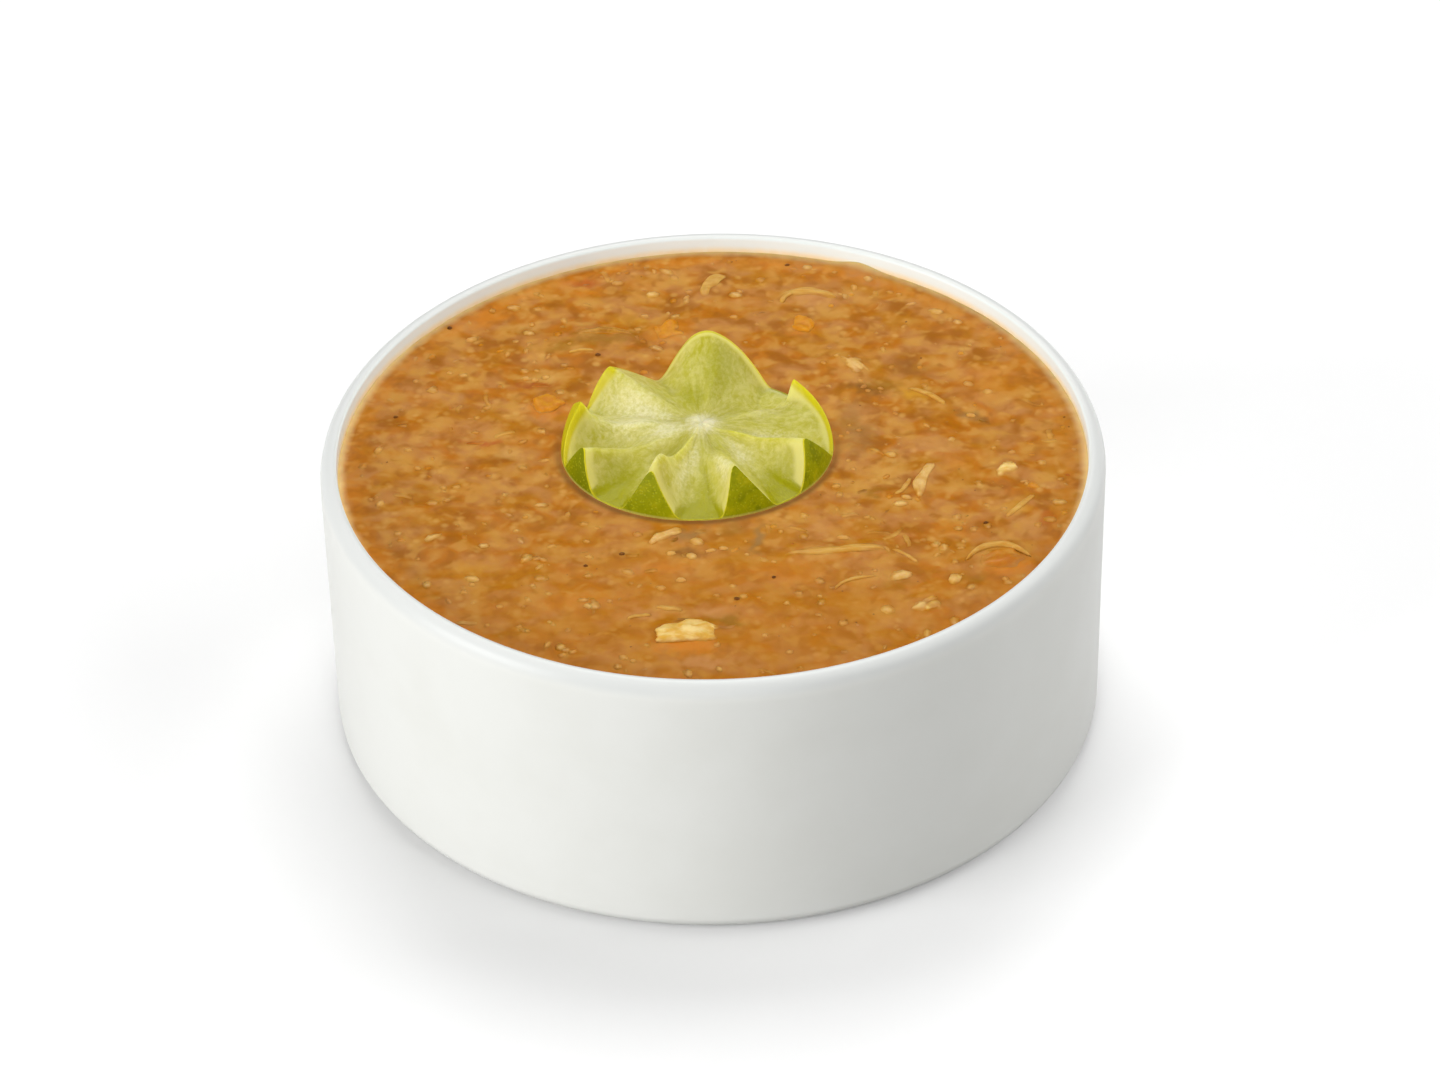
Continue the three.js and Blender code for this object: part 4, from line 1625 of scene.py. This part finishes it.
@dataclass
class Garnish:
    """All pieces of food that lie in the soup's surface, apart from the lime."""

    soup: SoupSurface
    lime: LimeCrown
    seed: int = 31
    wall_gap: float = 1.3
    lime_gap: float = 0.6
    collar_climb: float = 0.3
    collar_reach: float = 1.2

    def large_pieces(self) -> list[LargePiece]:
        """List the larger pieces.

        Returns:
            The pieces.
        """
        lump, dice, strip = Form.LUMP, Form.DICE, Form.STRIP
        rows = (
            ("chicken_chunk_front", Food.CHICKEN, lump, (-5.0, -49.7), (10.8, 6.4, 5.2), 2, 1.2, 0.0, 6),
            ("chicken_chunk_right", Food.CHICKEN, lump, (36.0, -43.2), (7.2, 5.4, 4.4), 24, 0.35, 0.0, 5),
            ("chicken_chunk_side", Food.CHICKEN, lump, (51.4, -5.2), (6.2, 4.4, 3.6), 60, 0.32, 0.0, 5),
            ("onion_piece_back", Food.ONION, lump, (26.2, 28.2), (8.4, 4.6, 3.6), -57, 0.3, 0.0, 5),
            ("tomato_piece_right", Food.TOMATO, lump, (49.2, -30.6), (10.6, 7.4, 4.6), 12, 0.4, 0.0, 6),
            ("carrot_dice_back", Food.CARROT, dice, (-7.6, 40.6), (5.4, 5.2, 4.4), 18, 0.5, 0.0, 2),
            ("carrot_dice_left", Food.CARROT, dice, (-29.6, 18.2), (5.6, 5.6, 4.4), 40, 0.5, 0.0, 2),
            ("carrot_dice_rear", Food.CARROT, dice, (17.0, 41.4), (4.4, 4.8, 3.8), 68, 0.45, 0.0, 2),
            ("chicken_shred_front", Food.SHREDS, strip, (21.0, -27.7), (19.5, 2.5, 1.7), 3, 0.4, 0.7, 5),
            ("chicken_shred_back", Food.SHREDS, strip, (18.2, 50.0), (11.5, 2.5, 1.9), -6, 0.4, 1.9, 5),
            ("chicken_shred_rear", Food.SHREDS, strip, (1.0, 54.6), (9.2, 3.0, 2.2), 62, 0.36, 0.9, 5),
            ("onion_strip_side", Food.ONION, strip, (37.1, -7.4), (11.0, 2.5, 1.7), 75, 0.4, 0.6, 5),
            ("onion_strip_front", Food.ONION, strip, (-8.4, -22.6), (7.6, 2.4, 1.7), 34, 0.38, 0.4, 5),
            ("pepper_strip_back", Food.PEPPER, strip, (-19.4, 39.4), (11.6, 2.8, 1.8), 2, 0.3, 1.6, 5),
        )
        return [LargePiece(node, food, Bit(form, at, size, turn, rise, bend, fineness=fineness))
                for node, food, form, at, size, turn, rise, bend, fineness in rows]

    def collars(self) -> list[Callable[[float, float], float]]:
        """Give how high the soup climbs round each of the larger pieces."""
        return [piece.bit.collar(self.collar_climb, self.collar_reach) for piece in self.large_pieces()]

    def sprinkles(self) -> list[Sprinkle]:
        """List the small pieces by kind.

        Returns:
            The kinds.
        """
        lump, strip, flake = Form.LUMP, Form.STRIP, Form.FLAKE
        grains = lying(
            lump, (-7.5, -27.1, 1.8, 1.4, 1.3, 20, 0.35), (-0.6, -26.5, 2.0, 1.3, 1.3, 10, 0.35),
            (1.5, -26.0, 1.8, 1.3, 1.3, -10, 0.35), (-33.3, 26.3, 1.8, 1.4, 1.3, 0, 0.35),
            (-31.6, 25.9, 1.6, 1.3, 1.3, 40, 0.35), (-29.7, 26.8, 1.8, 1.4, 1.3, 15, 0.35),
            (22.3, -23.6, 2.6, 1.5, 1.3, -15, 0.35), (-5.9, -34.6, 1.9, 1.5, 1.3, 0, 0.35),
            (46.0, 12.2, 1.9, 1.3, 1.2, -20, 0.35), (-59.0, 5.2, 2.6, 1.7, 1.3, 70, 0.3),
            (-58.2, -11.0, 2.4, 1.6, 1.3, 60, 0.3), (-43.2, 39.2, 3.0, 1.7, 1.3, 30, 0.3))
        pale_bits = lying(
            lump, (31.7, -34.6, 4.6, 3.0, 2.0, 20, 0.45), (40.9, -36.3, 3.4, 2.6, 2.0, 70, 0.45),
            (32.4, -14.1, 3.2, 1.8, 1.6, 10, 0.35), (33.6, -12.2, 2.4, 1.6, 1.5, -20, 0.35),
            (-30.1, -12.0, 3.2, 1.7, 1.5, 5, 0.3), (-10.5, 52.6, 3.2, 2.4, 1.6, 0, 0.35),
            (4.7, 51.7, 3.0, 2.2, 1.6, 0, 0.35), (-39.8, -23.4, 2.6, 1.6, 1.5, 10, 0.3),
            (-48.6, -21.0, 3.6, 1.8, 1.5, 30, 0.3), (31.4, 0.6, 2.6, 2.2, 1.5, 0, 0.35))
        shreds = lying(
            strip, (38.3, 18.0, 9.4, 1.5, 1.2, -40, 0.4, 0.9), (53.3, -15.8, 9.5, 1.4, 1.2, 51, 0.4, 0.3),
            (32.6, -29.2, 6.4, 0.9, 0.9, -43, 0.31, 0.3), (24.0, -36.6, 9.0, 1.0, 1.0, 22, 0.34, 1.6),
            (-23.4, 34.3, 5.4, 1.0, 1.0, 9, 0.34, 0.3),
            (48.6, -30.8, 11.6, 1.4, 1.5, 5, 0.75, 4.0, 0.0, 2),
            (-13.0, -44.8, 4.8, 1.0, 1.0, 12, 0.34, 0.5), (-8.0, -42.8, 5.6, 1.4, 1.1, -14, 0.31, 0.4),
            (14.4, 50.2, 5.0, 1.3, 1.1, 50, 0.4, 0.4), (33.0, -9.0, 6.6, 1.2, 1.1, 60, 0.37, -0.4))
        herbs = lying(
            flake, (29.9, -16.1, 3.4, 2.2, 0.9, 50, 0.21, 0, 0.3), (26.4, -10.3, 3.0, 1.7, 0.8, 15, 0.18),
            (-2.3, -20.7, 3.4, 1.5, 0.8, 10, 0.18, 0, 0.4),
            (-5.3, -27.5, 2.2, 1.8, 0.8, 60, 0.18, 0, 0.5),
            (-7.2, -23.4, 2.6, 1.4, 0.8, 20, 0.18), (-5.0, -45.8, 4.6, 1.2, 0.8, -4, 0.18, 0, 0.8),
            (48.2, 10.4, 2.4, 1.3, 0.7, -30, 0.18, 0, 0.3))
        flakes = lying(
            flake, (-23.0, 55.9, 2.6, 1.3, 0.7, 10, 0.12), (-20.9, 57.6, 1.6, 1.0, 0.6, 60, 0.1),
            (-31.2, 24.2, 8.4, 1.0, 0.6, -6, 0.09, 0, 0.7), (-40.7, 7.1, 6.4, 1.1, 0.6, -4, 0.09, 0, 0.2))
        specks = lying(lump, *((x, y, size, size * 0.9, size * 0.9, 30, 0.25) for x, y, size in (
            (-16.0, -26.8, 1.25), (3.6, -40.6, 1.2), (-20.4, 33.4, 1.2), (47.0, -20.2, 1.1),
            (-47.4, 43.1, 1.1), (-56.3, 15.4, 1.0), (14.5, 61.2, 1.0), (-22.2, -30.2, 0.8),
            (10.0, -34.4, 0.7))))
        return [
            Sprinkle("soup_pale_grains", Food.GRAINS, lump, 300, (1.2, 2.8), (1.0, 2.0), 0.9,
                     (0.03, 0.2), 0.7, placed=grains),
            Sprinkle("soup_pale_bits", Food.ONION, lump, 60, (2.2, 4.0), (1.6, 2.7), 1.3,
                     (0.1, 0.28), 0.7, placed=pale_bits),
            Sprinkle("soup_shreds", Food.SHREDS, strip, 32, (3.0, 7.0), (1.1, 1.8), 0.9,
                     (0.05, 0.2), 0.5, 0.8, placed=shreds),
            Sprinkle("soup_carrot_bits", Food.CARROT, lump, 44, (1.4, 2.8), (1.2, 2.2), 1.1,
                     (0.08, 0.24), 0.4),
            Sprinkle("soup_herb_flecks", Food.HERB, flake, 34, (0.8, 1.8), (0.5, 1.0), 0.35,
                     (0.02, 0.08), 0.4, placed=herbs),
            Sprinkle("soup_spice_specks", Food.SPICE, lump, 30, (0.4, 0.7), (0.35, 0.6), 0.5,
                     (0.03, 0.1), 0.0, placed=specks),
            Sprinkle("soup_red_flakes", Food.FLAKES, flake, 14, (1.0, 2.0), (0.6, 1.0), 0.4,
                     (0.03, 0.1), 0.0, placed=flakes),
        ]

    def clear(self, x: float, y: float, reach: float, taken: Sequence[Bit]) -> bool:
        """Tell whether a place is clear of the wall, the lime and the pieces that are placed.

        Args:
            x: The place to the right of the bowl's middle.
            y: The place behind the bowl's middle.
            reach: Half the length of what lies there.
            taken: The pieces to stay clear of.

        Returns:
            Whether it is clear.
        """
        if math.hypot(x, y) > self.soup.radius - self.wall_gap - reach:
            return False
        across, along = x - self.lime.centre[0], y - self.lime.centre[1]
        gap = self.lime_gap + reach
        if math.hypot(across / (self.lime.half_width + gap), along / (self.lime.half_depth + gap)) < 1:
            return False
        return all(
            math.hypot(x - bit.at[0], y - bit.at[1]) > reach + (bit.size[0] + bit.size[1]) / 4
            for bit in taken
        )

    def build_large(self) -> list[bpy.types.Object]:
        """Make the larger pieces.

        Returns:
            The pieces.
        """
        made = []
        for number, piece in enumerate(self.large_pieces(), start=1):
            mesh = FoodMesh(self.soup, number)
            mesh.put(piece.bit)
            made.append(mesh.finish(f"{piece.node}_cooked", piece.food, piece.node))
        return made

    def build_small(self) -> list[bpy.types.Object]:
        """Strew the small pieces.

        Returns:
            One piece of the object for each kind.
        """
        draw = random.Random(self.seed)
        large = [piece.bit for piece in self.large_pieces()]
        kinds = self.sprinkles()
        placed = [bit for kind in kinds for bit in kind.placed]
        made = []
        for number, kind in enumerate(kinds):
            mesh = FoodMesh(self.soup, self.seed + number)
            for bit in kind.placed:
                mesh.put(bit)
            left = kind.count
            while left:
                x, y = (draw.uniform(-self.soup.radius, self.soup.radius) for _ in range(2))
                length = draw.uniform(*kind.length) * draw.uniform(0.8, 1.0)
                dense = 0.5 + 1.6 * noise.noise(Vector((x / 9, y / 9, number * 3.7)))
                crowd = 1 - kind.clumping + kind.clumping * dense
                if draw.random() > crowd or not (self.clear(x, y, length / 2, large)
                                                 and self.clear(x, y, 0, placed)):
                    continue
                width = min(draw.uniform(*kind.width), length)
                size = (length, width, kind.thickness * draw.uniform(0.8, 1.2))
                mesh.put(Bit(kind.form, (x, y), size, draw.uniform(0, 360), draw.uniform(*kind.rise),
                             draw.uniform(-kind.bend, kind.bend), draw.uniform(0, 0.6)))
                left -= 1
            made.append(mesh.finish(kind.name, kind.food, "soup"))
        return made


# Camera, light and floor


@dataclass(frozen=True)
class SoftLight:
    """A square soft white light: where it stands and its power."""

    name: str
    heading: float
    elevation: float
    watts: float


@dataclass
class Studio:
    """A white floor, soft white light and the camera."""

    elevation: float = 36.692
    roll: float = -1.2805
    distance: float = 966.0
    offset: tuple[float, float] = (-1.322, 16.612)
    lens: float = 137.55
    aim_height: float = 53.5
    floor_width: float = 6000.0
    floor_glow: float = 0.05
    sky: float = 0.045
    light_distance: float = 1500.0
    light_width: float = 900.0
    sensor_width: float = 36.0
    view_depth: float = 20000.0
    lights: tuple[SoftLight, ...] = (
        SoftLight("side_light", 207, 12, 22.4),
        SoftLight("front_light", 270, 15, 8.2),
        SoftLight("rear_light", 90, 60, 13.4),
        SoftLight("right_light", 20, 40, 5.6),
        SoftLight("low_right_light", 20, 12, 2.8),
        SoftLight("front_right_light", 330, 30, 5.8),
    )

    def build_camera(self) -> None:
        """Place the camera."""
        rise, roll = math.radians(self.elevation), math.radians(self.roll)
        forward = Vector((0, math.cos(rise), -math.sin(rise)))
        right, up = Vector((1, 0, 0)), Vector((0, math.sin(rise), math.cos(rise)))
        across = right * math.cos(roll) + up * math.sin(roll)
        upward = up * math.cos(roll) - right * math.sin(roll)
        place = -(across * self.offset[0] + upward * self.offset[1] + forward * self.distance)
        place.z += self.aim_height
        data = bpy.data.cameras.new("camera")
        data.lens = self.lens
        data.sensor_width = self.sensor_width
        data.clip_end = self.view_depth * METRES_PER_MM
        camera = bpy.data.objects.new("camera", data)
        turned = Matrix((across, upward, -forward)).transposed().to_4x4()
        camera.matrix_world = Matrix.Translation(place * METRES_PER_MM) @ turned
        bpy.context.scene.collection.objects.link(camera)
        bpy.context.scene.camera = camera

    def build_floor(self) -> None:
        """Lay the white floor, which throws no light up on the bowl's side."""
        shader = Shader("white_floor", Roughness=0.9, Emission_Color=(1, 1, 1, 1),
                        Emission_Strength=self.floor_glow)
        colour = shader.mix(shader.noise(180.0, detail=1), (0.975, 0.975, 0.975), (0.985, 0.985, 0.985))
        bm = bmesh.new()
        bmesh.ops.create_grid(bm, x_segments=4, y_segments=4, size=self.floor_width / 2 * METRES_PER_MM)
        mesh = bpy.data.meshes.new("floor")
        bm.to_mesh(mesh)
        bm.free()
        mesh.materials.append(shader.finish(colour))
        floor = bpy.data.objects.new("floor", mesh)
        bpy.context.scene.collection.objects.link(floor)
        floor.visible_diffuse = False

    def build_lights(self) -> None:
        """Set the sky and the soft lights."""
        scene = bpy.context.scene
        scene.view_settings.view_transform = "Standard"
        world = bpy.data.worlds.new("white_room")
        world.use_nodes = True
        background = next(node for node in world.node_tree.nodes if node.type == "BACKGROUND")
        background.inputs["Color"].default_value = (1, 1, 1, 1)
        background.inputs["Strength"].default_value = self.sky
        scene.world = world
        for light in self.lights:
            data = bpy.data.lights.new(light.name, "AREA")
            data.size = self.light_width * METRES_PER_MM
            data.energy = light.watts
            lamp = bpy.data.objects.new(light.name, data)
            heading, rise = math.radians(light.heading), math.radians(light.elevation)
            away = Vector((math.cos(heading) * math.cos(rise), math.sin(heading) * math.cos(rise),
                           math.sin(rise)))
            lamp.location = away * self.light_distance * METRES_PER_MM
            lamp.rotation_euler = away.to_track_quat("Z", "Y").to_euler()
            scene.collection.objects.link(lamp)


def main() -> None:
    """Build the bowl, its soup and all that lies in it, and light them."""
    logging.basicConfig(level=logging.INFO, format="%(name)s %(message)s")
    bowl = Bowl()
    bowl.build()
    soup = SoupSurface(bowl)
    lime = LimeCrown(soup.level)
    garnish = Garnish(soup, lime)
    soup.still = [lime.stillness]
    # painted shadow on the soup at the lime's side
    soup.painted_shadows = [lime.shade]
    soup.collars = garnish.collars()
    soup.build()
    lime.build()
    garnish.build_large()
    garnish.build_small()
    studio = Studio()
    studio.build_floor()
    studio.build_lights()
    studio.build_camera()


if __name__ == "__main__":
    main()
